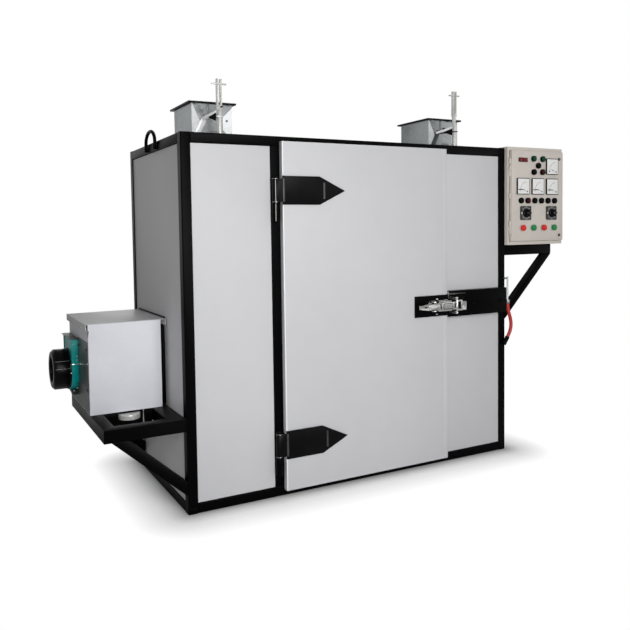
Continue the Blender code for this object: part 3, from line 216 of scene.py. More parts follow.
class Effects:
    """Shader node groups that several finishes share, each built once."""

    @staticmethod
    def _group(name: str, inputs: Sequence[tuple], output: str) -> tuple:
        """Makes an empty group with named sockets.

        Args:
            name: the group's name.
            inputs: the name and first value of each input.
            output: the name of the value that it puts out.

        Returns:
            The tree, its wiring, the sockets of its inputs and the socket that takes the result.
        """
        tree = bpy.data.node_groups.new(name, "ShaderNodeTree")
        for label, value in inputs:
            kind = "NodeSocketFloat" if isinstance(value, float) else "NodeSocketVector"
            socket = tree.interface.new_socket(label, in_out="INPUT", socket_type=kind)
            socket.default_value = value
        tree.interface.new_socket(output, in_out="OUTPUT", socket_type="NodeSocketFloat")
        wiring = Wiring(tree)
        given = wiring.add("NodeGroupInput").outputs
        return tree, wiring, given, wiring.add("NodeGroupOutput").inputs[output]

    @staticmethod
    @cache
    def edge_wear() -> bpy.types.NodeTree:
        """Outer and inner edges where paint thins, broken up by noise.

        Returns:
            The node group.
        """
        sockets = (("Width", 0.002), ("Cover", 0.4), ("Size", 0.01))
        tree, w, given, result = Effects._group("edge_wear", sockets, "Mask")
        rounded = w.add("ShaderNodeBevel", {"Radius": given["Width"]}, samples=4).outputs[0]
        plain = w.add("ShaderNodeNewGeometry").outputs["Normal"]
        edge = w.remap(w.vector("DOT_PRODUCT", rounded, plain), (0.995, 0.93), (0.0, 1.0))
        noise = w.add("ShaderNodeTexNoise", {**w.place(given["Size"]), "Detail": 5.0}).outputs["Fac"]
        low = w.math("MULTIPLY", w.math("SUBTRACT", 1.0, given["Cover"]), 0.62)
        broken = w.remap(w.math("SUBTRACT", noise, low), (0.0, 0.12), (0.0, 1.0))
        w.feed(result, w.math("MULTIPLY", edge, broken))
        return tree

    @staticmethod
    @cache
    def surface_grain() -> bpy.types.NodeTree:
        """Fine relief: orange peel, or long brush lines where it is stretched.

        Returns:
            The node group.
        """
        sockets = (("Size", 0.002), ("Stretch", (1.0, 1.0, 1.0)))
        tree, w, given, result = Effects._group("surface_grain", sockets, "Height")
        spots = w.place(given["Size"])
        spots["Vector"] = w.vector("MULTIPLY", spots["Vector"], given["Stretch"])
        noise = w.add("ShaderNodeTexNoise", {**spots, "Detail": 3.0, "Roughness": 0.55}).outputs["Fac"]
        cells = w.add("ShaderNodeTexVoronoi", spots, feature="SMOOTH_F1").outputs[0]
        w.feed(result, w.math("ADD", w.math("MULTIPLY", noise, 0.65), w.math("MULTIPLY", cells, 0.35)))
        return tree

    @staticmethod
    @cache
    def tone_drift() -> bpy.types.NodeTree:
        """A slow change of tone over a large surface, with faint smaller clouds in it.

        Returns:
            The node group.
        """
        tree, w, given, result = Effects._group("tone_drift", (("Size", 0.4),), "Tone")
        spots = w.place(given["Size"])
        wide = w.add("ShaderNodeTexNoise", {**spots, "Detail": 1.0}).outputs["Fac"]
        smaller = {**spots, "Scale": w.math("MULTIPLY", spots["Scale"], 7.0)}
        fine = w.add("ShaderNodeTexNoise", {**smaller, "Detail": 4.0}).outputs["Fac"]
        both = w.math("ADD", w.math("MULTIPLY", wide, 0.7), w.math("MULTIPLY", fine, 0.3))
        w.feed(result, w.remap(both, (0.3, 0.7), (0.0, 1.0)))
        return tree

    @staticmethod
    @cache
    def dust_and_sheen_cover() -> bpy.types.NodeTree:
        """Dust that lies on faces that look up, thicker in patches, which also paints a lighter sheen on
        those faces.

        Returns:
            The node group.
        """
        tree, w, given, result = Effects._group("dust_and_sheen_cover", (("Amount", 0.3), ("Size", 0.08)), "Mask")
        normal = w.add("ShaderNodeNewGeometry").outputs["Normal"]
        rise = w.add("ShaderNodeSeparateXYZ", {0: normal}).outputs["Z"]
        up = w.remap(rise, (0.35, 0.95), (0.0, 1.0), soft=True)
        spots = w.place(given["Size"])
        noise = w.add("ShaderNodeTexNoise", {**spots, "Detail": 6.0, "Roughness": 0.6}).outputs["Fac"]
        patch = w.remap(noise, (0.3, 0.75), (0.25, 1.0))
        w.feed(result, w.math("MULTIPLY", w.math("MULTIPLY", up, patch), given["Amount"]))
        return tree

    @staticmethod
    @cache
    def zinc_spangle() -> bpy.types.NodeTree:
        """Flakes of a hot-dipped zinc coat, each with its own tone and gloss.

        Returns:
            The node group.
        """
        tree, w, given, result = Effects._group("zinc_spangle", (("Size", 0.012),), "Flake")
        spots = w.place(given["Size"])
        coarse = {**spots, "Scale": w.math("MULTIPLY", spots["Scale"], 1.7)}
        bent = w.add("ShaderNodeTexNoise", {**coarse, "Detail": 2.0}).outputs["Color"]
        shift = w.add("ShaderNodeVectorMath", {0: bent, "Scale": 0.006}, operation="SCALE").outputs[0]
        moved = w.vector("ADD", spots["Vector"], shift)
        cells = w.add("ShaderNodeTexVoronoi", {**spots, "Vector": moved}, feature="F1").outputs["Color"]
        w.feed(result, w.add("ShaderNodeSeparateColor", {0: cells}).outputs[0])
        return tree

    @staticmethod
    @cache
    def scuffs() -> bpy.types.NodeTree:
        """Thin scratches in two directions, sparse and of uneven depth.

        Returns:
            The node group.
        """
        tree, w, given, result = Effects._group("scuffs", (("Size", 0.05), ("Cover", 0.3)), "Mask")
        spots = w.place(given["Size"])
        lines = []
        for turn, stretch in (((0.4, 0.5, 0.3), (1.0, 1.0, 22.0)), ((1.1, 0.2, 0.9), (18.0, 1.0, 1.0))):
            mapping = {"Vector": spots["Vector"], "Rotation": turn, "Scale": stretch}
            turned = w.add("ShaderNodeMapping", mapping).outputs[0]
            noise = w.add("ShaderNodeTexNoise", {**spots, "Vector": turned, "Detail": 4.0})
            lines.append(w.remap(noise.outputs["Fac"], (0.66, 0.74), (0.0, 1.0)))
        w.feed(result, w.math("MULTIPLY", w.math("MAXIMUM", *lines), given["Cover"]))
        return tree


def daylight(red: float, green: float, blue: float) -> Rgba:
    """Turns a colour as a screen shows it, from 0 to 255, into the light that it reflects.

    Args:
        red: the red value.
        green: the green value.
        blue: the blue value.

    Returns:
        The linear colour, with a full alpha.
    """
    shares = [value / 255 for value in (red, green, blue)]
    linear = [s / 12.92 if s <= 0.04045 else ((s + 0.055) / 1.055) ** 2.4 for s in shares]
    return (linear[0], linear[1], linear[2], 1.0)


def grey(tone: float) -> Rgba:
    """Turns a grey as a screen shows it, from 0 to 255, into the light that it reflects."""
    return daylight(tone, tone, tone)


@dataclass(frozen=True)
class Finish:
    """One surface finish, with its colour, gloss, relief, wear, and dust that also paints sheen on upward
    faces.

    Attributes:
        name: the material's name.
        colour: the colour in plain light, each part from 0 to 255.
        roughness: the middle of the roughness.
        metallic: 1 for bare metal.
        specular: how strongly a painted surface mirrors.
        coat: the weight of a clear coat.
        drift: the share by which the tone wanders.
        drift_size: the size of the tone's patches.
        grain: the relief's height.
        grain_size: the relief's size across.
        stretch: how much finer the relief is along each axis.
        flake: the share by which zinc flakes differ, 0 for none.
        flake_size: a flake's size across.
        worn: the share of the edges that are worn.
        worn_colour: what shows where they are.
        dust: the amount of dust on upward faces, which also paints a lighter sheen there.
        scuffed: the amount of scratches.
        glow: how strongly the surface shines by itself.
    """

    name: str
    colour: Triple
    roughness: float = 0.4
    metallic: float = 0.0
    specular: float = 0.5
    coat: float = 0.0
    drift: float = 0.06
    drift_size: float = 0.35
    grain: float = 0.00006
    grain_size: float = 0.0025
    stretch: Triple = (1.0, 1.0, 1.0)
    flake: float = 0.0
    flake_size: float = 0.012
    worn: float = 0.0
    worn_colour: Triple = (150, 148, 144)
    dust: float = 0.0
    scuffed: float = 0.0
    glow: float = 0.0

    def material(self) -> bpy.types.Material:
        """Builds the material on first use.

        Returns:
            The material.
        """
        found = bpy.data.materials.get("finish_" + self.name)
        if found:
            return found
        made = bpy.data.materials.new("finish_" + self.name)
        made.use_nodes = True
        tree = made.node_tree
        shader = tree.nodes["Principled BSDF"].inputs
        w = Wiring(tree)
        colour, rough = self._use(w, *self._coat(w))
        if self.dust:
            colour, rough = self._dust_and_sheen(w, shader, colour, rough)
        if not (self.dust and self.metallic):
            shader["Metallic"].default_value = self.metallic
        shader["Specular IOR Level"].default_value = self.specular
        shader["Coat Weight"].default_value = self.coat
        shader["Coat Roughness"].default_value = 0.08
        w.feed(shader["Base Color"], colour)
        w.feed(shader["Roughness"], rough)
        if self.glow:
            w.feed(shader["Emission Color"], colour)
            shader["Emission Strength"].default_value = self.glow
        relief = {"Size": self.grain_size, "Stretch": self.stretch}
        height = self._effect(w, Effects.surface_grain(), relief)
        bump = w.add("ShaderNodeBump", {"Height": height, "Distance": self.grain})
        w.feed(shader["Normal"], bump.outputs[0])
        return made

    def _coat(self, w: Wiring) -> Sockets:
        """Adds the new surface, with its drifting tone and its zinc flakes.

        Args:
            w: the material's wiring.

        Returns:
            The sockets of its colour and its roughness.
        """
        tone = self._effect(w, Effects.tone_drift(), {"Size": self.drift_size})
        dark = daylight(*[value * (1 - self.drift) for value in self.colour])
        light = daylight(*[min(255, value * (1 + self.drift)) for value in self.colour])
        colour = w.mix(tone, dark, light)
        rough = w.remap(tone, (0, 1), (self.roughness * 0.88, min(1, self.roughness * 1.12)))
        if self.flake:
            flake = self._effect(w, Effects.zinc_spangle(), {"Size": self.flake_size})
            bright = w.remap(flake, (0, 1), (1 - self.flake, 1 + self.flake))
            toned = w.add("ShaderNodeCombineColor", {0: bright, 1: bright, 2: bright})
            colour = w.mix(1.0, colour, toned.outputs[0], "MULTIPLY")
            rough = w.math("ADD", rough, w.remap(flake, (0, 1), (-0.09, 0.09)))
        return colour, rough

    def _use(self, w: Wiring, colour: Socket, rough: Socket) -> Sockets:
        """Adds what use leaves on the surface, its scratches and worn edges.

        Args:
            w: the material's wiring.
            colour: the colour so far.
            rough: the roughness so far.

        Returns:
            The sockets of the used surface's colour and roughness.
        """
        if self.scuffed:
            marks = self._effect(w, Effects.scuffs(), {"Cover": self.scuffed})
            colour = w.mix(w.math("MULTIPLY", marks, 0.35), colour, daylight(*self.worn_colour))
            rough = w.math("ADD", rough, w.math("MULTIPLY", marks, 0.18))
        if self.worn:
            bare = self._effect(w, Effects.edge_wear(), {"Cover": self.worn})
            colour = w.mix(bare, colour, daylight(*self.worn_colour))
        return colour, rough

    def _dust_and_sheen(self, w: Wiring, shader: bpy.types.NodeInputs, colour: Socket, rough: Socket) -> Sockets:
        """Adds the dust, which also paints sheen on upward faces and hides bare metal where it lies.

        Args:
            w: the material's wiring.
            shader: the shader's inputs.
            colour: the colour so far.
            rough: the roughness so far.

        Returns:
            The sockets of the dusty surface's colour and roughness.
        """
        lying = self._effect(w, Effects.dust_and_sheen_cover(), {"Amount": self.dust})
        if self.metallic:
            w.feed(shader["Metallic"], w.remap(lying, (0, 1), (self.metallic, 0.2)))
        rough = w.math("ADD", rough, w.math("MULTIPLY", lying, 0.5))
        return w.mix(lying, colour, daylight(176, 172, 165)), rough

    @staticmethod
    def _effect(w: Wiring, tree: bpy.types.NodeTree, values: dict) -> Socket:
        """Places a shared effect with this finish's values.

        Args:
            w: the material's wiring.
            tree: the effect's node group.
            values: the group's inputs, by name.

        Returns:
            The socket of the effect's result.
        """
        node = w.add("ShaderNodeGroup", node_tree=tree)
        for key, value in values.items():
            node.inputs[key].default_value = value
        return node.outputs[0]


# On the black enamel the small dust amount also paints a lighter sheen on its upward faces.
BLACK_ENAMEL = Finish(
    "black_enamel", (4, 4, 5), 0.36, specular=0.035, drift=0.12, grain=0.0001, grain_size=0.004,
    worn=0.15, worn_colour=(48, 47, 46), dust=0.04, scuffed=0.03,
)
GREY_POWDER = Finish(
    "grey_powder", (203, 203, 205), 0.46, specular=0.25, drift=0.014, drift_size=0.7, grain=0.00005,
    grain_size=0.0018, dust=0.1,
)
ZINC_SHEET = Finish(
    "zinc_sheet", (160, 164, 165), 0.36, metallic=0.85, drift=0.05, grain=0.00003, grain_size=0.006,
    flake=0.1, flake_size=0.016, dust=0.25, scuffed=0.2, worn_colour=(205, 207, 208),
)
LINING_SHEET = Finish(
    "lining_sheet", (158, 158, 156), 0.34, metallic=0.9, drift=0.05, grain=0.00004,
    grain_size=0.0012, stretch=(1.0, 1.0, 0.04), scuffed=0.3, dust=0.2, worn_colour=(120, 116, 108),
)
CAST_ZINC = Finish(
    "cast_zinc", (196, 196, 194), 0.26, metallic=0.95, drift=0.07, drift_size=0.03, grain=0.00012,
    grain_size=0.003, worn=0.4, worn_colour=(228, 228, 226), scuffed=0.3,
)
BRIGHT_STEEL = Finish(
    "bright_steel", (214, 214, 212), 0.2, metallic=1.0, drift=0.05, drift_size=0.02, grain=0.00002,
    grain_size=0.0006,
)
BEIGE_HAMMERED = Finish(
    "beige_hammered", (213, 206, 198), 0.44, specular=0.45, drift=0.025, drift_size=0.2,
    grain=0.00018, grain_size=0.0035, worn=0.12, worn_colour=(150, 144, 138), dust=0.12,
)
TEAL_HAMMERED = Finish(
    "teal_hammered", (0, 160, 157), 0.34, specular=0.25, drift=0.1, drift_size=0.06, grain=0.0003,
    grain_size=0.006, worn=0.25, worn_colour=(98, 132, 128), dust=0.15,
)
BLACK_MOULDING = Finish(
    "black_moulding", (8, 8, 9), 0.16, specular=0.16, drift=0.1, drift_size=0.05, grain=0.00004,
    grain_size=0.003, dust=0.05,
)
# The slight glow of the button caps is painted light; the buttons are not lit.
RED_BUTTON = Finish(
    "red_button", (206, 30, 20), 0.36, specular=0.3, coat=0.1, drift=0.05, drift_size=0.01,
    grain=0.00002, glow=0.1,
)
GREEN_BUTTON = Finish(
    "green_button", (4, 124, 62), 0.36, specular=0.3, coat=0.1, drift=0.05, drift_size=0.01,
    grain=0.00002, glow=0.1,
)
RED_HOSE = Finish(
    "red_hose", (186, 52, 48), 0.46, specular=0.4, drift=0.08, drift_size=0.05, grain=0.00008,
    grain_size=0.0012, dust=0.2,
)
STRAP_ENAMEL = Finish(
    "strap_enamel", (9, 9, 10), 0.36, specular=0.09, drift=0.15, drift_size=0.06, grain=0.00012,
    grain_size=0.004, worn=0.2, worn_colour=(58, 57, 55), scuffed=0.12,
)
LAMP_BLACK = Finish(
    "lamp_black", (6, 6, 6), 0.5, specular=0.04, drift=0.1, drift_size=0.01, grain=0.00003,
)
BOX_SHEET = Finish(
    "box_sheet", (217, 218, 224), 0.44, specular=0.25, drift=0.02, drift_size=0.2, grain=0.00006,
    grain_size=0.003, dust=0.1, scuffed=0.05,
)
INLET_BLACK = Finish(
    "inlet_black", (6, 6, 7), 0.3, specular=0.09, drift=0.1, drift_size=0.05, grain=0.00003,
)
# Painted shade: a mid grey for the strip that darkens the gap around the control box's door.
GAP_SHADE_GREY = Finish(
    "gap_shade_grey", (128, 123, 117), 0.6, specular=0.2, drift=0.08, drift_size=0.02, grain=0.00004,
)
# Painted highlight: a near-white, slightly glowing finish for thin strips that stand in for edges catching
# the light.
PAINTED_HIGHLIGHT_EDGE = Finish(
    "painted_highlight_edge", (242, 242, 243), 0.4, specular=0.35, drift=0.04, drift_size=0.08, grain=0.00003,
    glow=0.06,
)
# Painted highlight: a light grey for the thin lines along the hinge barrel.
PIN_HIGHLIGHT = Finish(
    "pin_highlight", (196, 195, 192), 0.36, specular=0.4, drift=0.12, drift_size=0.01, grain=0.00003,
)
# Painted highlight: a dark grey, lighter than the straps' black, for the ridges of their folds.
FOLD_HIGHLIGHT_ENAMEL = Finish(
    "fold_highlight_enamel", (58, 58, 59), 0.36, specular=0.4, drift=0.2, drift_size=0.03, grain=0.0001,
)
ROD_ZINC = Finish(
    "rod_zinc", (209, 208, 205), 0.34, metallic=0.5, drift=0.05, drift_size=0.05, grain=0.00004,
    flake=0.05, flake_size=0.006, scuffed=0.2, worn_colour=(120, 118, 114),
)
# Painted highlight: a lighter copy of the zinc sheet, for the lit rod guide and the bright facets of the
# duct folds.
ZINC_HIGHLIGHT = Finish(
    "zinc_highlight", (214, 216, 217), 0.38, metallic=0.35, drift=0.04, grain=0.00003, flake=0.05,
    scuffed=0.15, worn_colour=(170, 172, 172),
)
# Dull zinc, also used as painted light: darker bands on the duct fronts paint shade, and a rib on the
# black inlet paints a highlight.
DULL_ZINC_SHADE_AND_HIGHLIGHT = Finish(
    "dull_zinc_shade_and_highlight", (124, 127, 128), 0.42, metallic=0.6, drift=0.08, drift_size=0.04, grain=0.00003,
    flake=0.06,
)
# Dark zinc, also used as painted shade: the right rod guide, a shaded copy of the left one, and the groove
# of the latch's draw plate.
DARK_ZINC_AND_SHADE = Finish(
    "dark_zinc_and_shade", (66, 67, 68), 0.4, metallic=0.6, drift=0.12, drift_size=0.02, grain=0.00004,
)
WORN_STEEL = Finish(
    "worn_steel", (92, 91, 90), 0.34, metallic=0.6, drift=0.2, drift_size=0.03, grain=0.00004,
    scuffed=0.4,
)
SEAL_ROPE = Finish(
    "seal_rope", (92, 90, 86), 0.8, specular=0.2, drift=0.12, drift_size=0.03, grain=0.0006,
    grain_size=0.0014, stretch=(1.0, 1.0, 0.5),
)
# Painted shade: near-black for the slot, the slit and the guide webs, where shade falls.
PAINTED_SHADE_BLACK = Finish("painted_shade_black", (7, 7, 7), 0.7, specular=0.1, drift=0.1, grain=0.00002)
DARK_CASTING = Finish(
    "dark_casting", (42, 52, 52), 0.4, specular=0.4, drift=0.15, drift_size=0.03, grain=0.0002,
    worn=0.3, worn_colour=(96, 112, 110), dust=0.15,
)
# Painted reflection and shade: a dark greenish grey for the burner's reflection on the box's side and the
# shade below it.
REFLECTION_SHADE_GREY = Finish(
    "reflection_shade_grey", (70, 74, 74), 0.4, specular=0.2, drift=0.06, drift_size=0.08, grain=0.00008,
    worn=0.2, worn_colour=(140, 142, 142), dust=0.1, scuffed=0.15,
)
# Painted highlight: a mid grey for a thin rib along the black inlet.
GREY_HIGHLIGHT = Finish("grey_highlight", (92, 92, 94), 0.3, specular=0.5, drift=0.1, grain=0.00002)
DIAL_PAPER = Finish(
    "dial_paper", (243, 243, 241), 0.34, specular=0.4, coat=0.1, drift=0.015, grain=0.00001,
)
PRINT_INK = Finish("print_ink", (96, 98, 104), 0.5, specular=0.2, drift=0.1, grain=0.00001)
WHITE_PRINT = Finish("white_print", (214, 214, 210), 0.5, specular=0.3, drift=0.05, grain=0.00001)
SWITCH_PLATE = Finish(
    "switch_plate", (60, 60, 60), 0.45, specular=0.2, drift=0.18, drift_size=0.01, grain=0.00004,
    scuffed=0.2,
)
PALE_BEZEL = Finish(
    "pale_bezel", (206, 206, 203), 0.3, metallic=0.3, drift=0.05, drift_size=0.02, grain=0.00003,
    dust=0.1,
)
DISPLAY_WINDOW = Finish("display_window", (70, 12, 16), 0.4, specular=0.15, drift=0.08, grain=0.00001)
DISPLAY_FIGURES = Finish(
    "display_figures", (160, 42, 48), 0.4, drift=0.08, drift_size=0.01, grain=0.00001, glow=0.35,
)
GREEN_LENS = Finish(
    "green_lens", (4, 74, 46), 0.4, specular=0.08, drift=0.1, drift_size=0.01, grain=0.00003,
)
RED_LENS = Finish(
    "red_lens", (58, 12, 16), 0.4, specular=0.08, drift=0.1, drift_size=0.01, grain=0.00003,
)
DARK_LENS = Finish(
    "dark_lens", (11, 8, 9), 0.42, specular=0.05, drift=0.1, drift_size=0.01, grain=0.00003,
)
FINISHES = {
    Slot.FRAME: BLACK_ENAMEL,
    Slot.PANEL: GREY_POWDER,
    Slot.GALVANISED: ZINC_SHEET,
    Slot.LINING: LINING_SHEET,
    Slot.CAST: CAST_ZINC,
    Slot.BEIGE: BEIGE_HAMMERED,
    Slot.TEAL: TEAL_HAMMERED,
    Slot.GLOSS: BLACK_MOULDING,
    Slot.RED: RED_BUTTON,
    Slot.GREEN: GREEN_BUTTON,
    Slot.HOSE: RED_HOSE,
}
NODE_FINISHES = {
    "damper_rod_left": ROD_ZINC,
    "damper_rod_right": ROD_ZINC,
    "hinge_strap_upper": STRAP_ENAMEL,
    "hinge_strap_lower": STRAP_ENAMEL,
    # Painted light: the two rod guides are the same part, but the left gets the lit zinc and the right the
    # shaded zinc.
    "rod_guide_left": ZINC_HIGHLIGHT,
    "rod_guide_right": DARK_ZINC_AND_SHADE,
    "burner_box": BOX_SHEET,
    "burner_air_inlet": INLET_BLACK,
}


class Bench:
    """Models one piece with the tools of edit mode, in the part's own frame.

    What a start adds stays selected, so that the next tool works on it. Every tool returns the
    bench, so that tools can follow each other.
    """

    def __init__(self, name: str) -> None:
        """Names the piece that will be made.

        Args:
            name: the piece's name.
        """
        self.name = name
        self.piece: Piece | None = None

    def _begin(self) -> None:
        """Deselects everything, in the piece or in the scene."""
        if self.piece:
            bpy.ops.mesh.select_all(action="DESELECT")
            return
        if bpy.context.mode != "OBJECT":
            bpy.ops.object.mode_set(mode="OBJECT")
        bpy.ops.object.select_all(action="DESELECT")

    def _adopt(self) -> Self:
        """Takes what was just added as the piece, and opens it for editing.

        Returns:
            The bench, with all that was added selected.
        """
        if self.piece is None:
            self.piece = bpy.context.view_layer.objects.active
            self.piece.name = self.name
            self.piece.data.name = self.name
            bpy.ops.object.transform_apply(location=True, rotation=True, scale=True)
            bpy.ops.object.mode_set(mode="EDIT")
            bpy.ops.mesh.select_mode(type="FACE")
            bpy.ops.mesh.select_all(action="SELECT")
        return self

    @staticmethod
    def _span(start: Point, end: Point) -> dict[str, object]:
        """Works out how a round primitive reaches from one point to another.

        Args:
            start: the first point.
            end: the last point.

        Returns:
            The primitive's depth, location and rotation.
        """
        along = Vector(end) - Vector(start)
        turn = along.to_track_quat("Z", "Y").to_euler()
        return {"depth": along.length, "location": (Vector(start) + Vector(end)) / 2, "rotation": turn}

    def block(self, low: Point, high: Point) -> Self:
        """Adds a block.

        Args:
            low: its lowest corner.
            high: its highest corner.

        Returns:
            The bench.
        """
        self._begin()
        middle = [(end + start) / 2 for start, end in zip(low, high)]
        size = [end - start for start, end in zip(low, high)]
        bpy.ops.mesh.primitive_cube_add(size=1.0, location=middle, scale=size)
        return self._adopt()

    def tile(self, spot: Pair, half: Pair, front: float, back: float) -> Self:
        """Adds a block that lies flat on an upright face.

        Args:
            spot: its middle, across and up.
            half: half of its width and height.
            front: how far forward it reaches.
            back: where its back is.

        Returns:
            The bench.
        """
        (x, z), (wide, tall) = spot, half
        return self.block((x - wide, front, z - tall), (x + wide, back, z + tall))

    def rod(self, start: Point, end: Point, radius: float, sides: int = 32) -> Self:
        """Adds a round bar.

        Args:
            start: the middle of its first end.
            end: the middle of its last end.
            radius: its radius.
            sides: how many faces it has around.

        Returns:
            The bench.
        """
        self._begin()
        bpy.ops.mesh.primitive_cylinder_add(vertices=sides, radius=radius, **self._span(start, end))
        return self._adopt()

    def taper(self, start: Point, end: Point, radii: Pair, sides: int = 32) -> Self:
        """Adds a slice of a cone.

        Args:
            start: the middle of its first end.
            end: the middle of its last end.
            radii: the radius at each end.
            sides: how many faces it has around.

        Returns:
            The bench.
        """
        self._begin()
        place = self._span(start, end)
        bpy.ops.mesh.primitive_cone_add(vertices=sides, radius1=radii[0], radius2=radii[1], **place)
        return self._adopt()

    def ball(self, centre: Point, radius: float, sides: int = 24) -> Self:
        """Adds a ball.

        Args:
            centre: its middle.
            radius: its radius.
            sides: how many faces it has around.

        Returns:
            The bench.
        """
        self._begin()
        bpy.ops.mesh.primitive_uv_sphere_add(
            segments=sides, ring_count=sides // 2, radius=radius, location=centre
        )
        return self._adopt()

    def hexagon(self, centre: Point, axis: Axis, across: float, depth: float) -> Self:
        """Adds a six-sided bolt head, with its top edge eased.

        Args:
            centre: the middle of its foot.
            axis: the direction of its bolt.
            across: its width across the flats.
            depth: how far it reaches from its foot, negative against the axis.

        Returns:
            The bench.
        """
        start = Vector(centre)
        end = start + axis.value * depth
        self.rod(start, end, across / math.sqrt(3), sides=6)
        out = axis.value * math.copysign(1.0, depth)
        top = self.faces(lambda m, n: n.dot(out) > ALONG and (m - end).length < 1e-4)
        return top.inset(across * 0.08).move(-out * across * 0.05)

    def faces(self, test: Test) -> Self:
        """Selects faces.

        Args:
            test: what a face's middle and normal have to pass.

        Returns:
            The bench.
        """
        bpy.ops.mesh.select_mode(type="FACE")
        bpy.ops.mesh.select_all(action="DESELECT")
        mesh = bmesh.from_edit_mesh(self.piece.data)
        mesh.normal_update()
        for face in mesh.faces:
            if test(face.calc_center_median(), face.normal):
                face.select_set(True)
        bmesh.update_edit_mesh(self.piece.data)
        return self

    def side(self, way: Way) -> Self:
        """Selects the faces that look one way."""
        return self.faces(lambda m, n: n.dot(way.value) > ALONG)

    def ends(self, axis: Axis) -> Self:
        """Selects the faces at both ends of an axis."""
        return self.faces(lambda m, n: abs(n.dot(axis.value)) > ALONG)

    def edges(self, axis: Axis, where: Where | None = None) -> Self:
        """Selects the edges that run along an axis.

        Args:
            axis: the axis.
            where: what an edge's middle has to pass, if only some are wanted.

        Returns:
            The bench.
        """
        bpy.ops.mesh.select_mode(type="EDGE")
        bpy.ops.mesh.select_all(action="DESELECT")
        mesh = bmesh.from_edit_mesh(self.piece.data)
        for edge in mesh.edges:
            first, last = (v.co for v in edge.verts)
            straight = abs((last - first).normalized().dot(axis.value)) > ALONG
            if straight and (where is None or where((first + last) / 2)):
                edge.select_set(True)
        bmesh.update_edit_mesh(self.piece.data)
        return self

    def inset(self, thickness: float, depth: float = 0.0, each: bool = False) -> Self:
        """Insets the selected faces, and sinks or raises them by a depth."""
        bpy.ops.mesh.inset(thickness=thickness, depth=depth, use_individual=each, use_even_offset=True)
        return self

    def extrude(self, step: Point) -> Self:
        """Pulls the selected faces out by a step."""
        bpy.ops.mesh.extrude_region_move(TRANSFORM_OT_translate={"value": tuple(step)})
        return self

    def move(self, step: Point) -> Self:
        """Moves the selection by a step."""
        bpy.ops.transform.translate(value=tuple(step))
        return self

    def scale(self, shares: Point, centre: Point) -> Self:
        """Scales the selection about a centre."""
        bpy.ops.transform.resize(value=tuple(shares), center_override=tuple(centre))
        return self

    def bevel(self, width: float, segments: int = 2) -> Self:
        """Rounds the selected edges."""
        bpy.ops.mesh.bevel(offset=width, segments=segments, affect="EDGES", clamp_overlap=True)
        return self

    def cut(self, point: Point, normal: Point) -> Self:
        """Cuts off what lies beyond a plane, and closes the cut."""
        bpy.ops.mesh.select_all(action="SELECT")
        bpy.ops.mesh.bisect(plane_co=tuple(point), plane_no=tuple(normal), use_fill=True, clear_outer=True)
        return self

    def delete(self) -> Self:
        """Removes the selected faces."""
        bpy.ops.mesh.delete(type="FACE")
        return self

    def done(self, finish: Finish, body: str, edge: float = 0.0, merge: bool = True) -> Piece:
        """Closes and dresses the piece, and lets it ride on its body.

        Args:
            finish: the finish it gets.
            body: the body that it moves with.
            edge: the width of its rounded edges.
            merge: whether doubles are merged and the normals made consistent.

        Returns:
            The finished piece.
        """
        bpy.ops.mesh.select_mode(type="VERT")
        bpy.ops.mesh.select_all(action="SELECT")
        if merge:
            bpy.ops.mesh.remove_doubles(threshold=0.00001)
            bpy.ops.mesh.normals_make_consistent(inside=False)
        bpy.ops.object.mode_set(mode="OBJECT")
        if edge:
            rounding = self.piece.modifiers.new("rounding", "BEVEL")
            set_rounding(rounding, edge)
            bpy.ops.object.modifier_apply(modifier=rounding.name)
        bpy.ops.object.shade_smooth_by_angle(angle=math.radians(35))
        self.piece.data.materials.clear()
        self.piece.data.materials.append(finish.material())
        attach(self.piece, body)
        log.info("%s: %d faces, on %s", self.piece.name, len(self.piece.data.polygons), body)
        return self.piece


def set_rounding(rounding: bpy.types.BevelModifier, width: float) -> None:
    """Sets a bevel modifier to round the sharp edges only.

    Args:
        rounding: the modifier.
        width: the width of the rounded edges.
    """
    rounding.width = width
    rounding.segments = 2
    rounding.limit_method = "ANGLE"
    rounding.angle_limit = math.radians(40)


def repeat(piece: Piece, name: str, step: Point, body: str | None = None) -> Piece:
    """Copies a piece, with a mesh of its own, to another place.

    Args:
        piece: the piece to copy.
        name: the copy's name.
        step: how far the copy is from the first.
        body: the body that the copy rides on, if it is another one.

    Returns:
        The copy.
    """
    copy = piece.copy()
    copy.data = piece.data.copy()
    copy.name = copy.data.name = name
    bpy.context.scene.collection.objects.link(copy)
    copy.data.transform(Matrix.Translation(Vector(step)))
    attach(copy, body or piece["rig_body"])
    log.info("%s: copied from %s", name, piece.name)
    return copy


def row(first: Piece, stem: str, steps: Sequence[Point]) -> None:
    """Copies the first piece of a row to its other places, with numbers from 2.

    Args:
        first: the first piece.
        stem: the pieces' name without its number.
        steps: how far each copy is from the first.
    """
    for number, step in enumerate(steps, 2):
        repeat(first, f"{stem}_{number}", step)


def upright(degrees: float) -> Vector:
    """Gives the unit step at an angle in the front's plane, counted from the right."""
    return Vector((math.cos(math.radians(degrees)), 0.0, math.sin(math.radians(degrees))))


@dataclass(frozen=True)
class Softbox:
    """A square soft light.

    Attributes:
        name: the light's name.
        place: where it stands.
        aim: what it points at.
        size: its side.
        watts: its power.
    """

    name: str
    place: Triple
    aim: Triple
    size: float
    watts: float

    def build(self) -> None:
        """Makes the light, which the camera doesn't see."""
        data = bpy.data.lights.new(self.name, "AREA")
        data.shape = "SQUARE"
        data.size = self.size
        data.energy = self.watts
        light = bpy.data.objects.new(self.name, data)
        light.location = self.place
        light.rotation_euler = (Vector(self.aim) - Vector(self.place)).to_track_quat("-Z", "Y").to_euler()
        light.visible_camera = False
        bpy.context.scene.collection.objects.link(light)


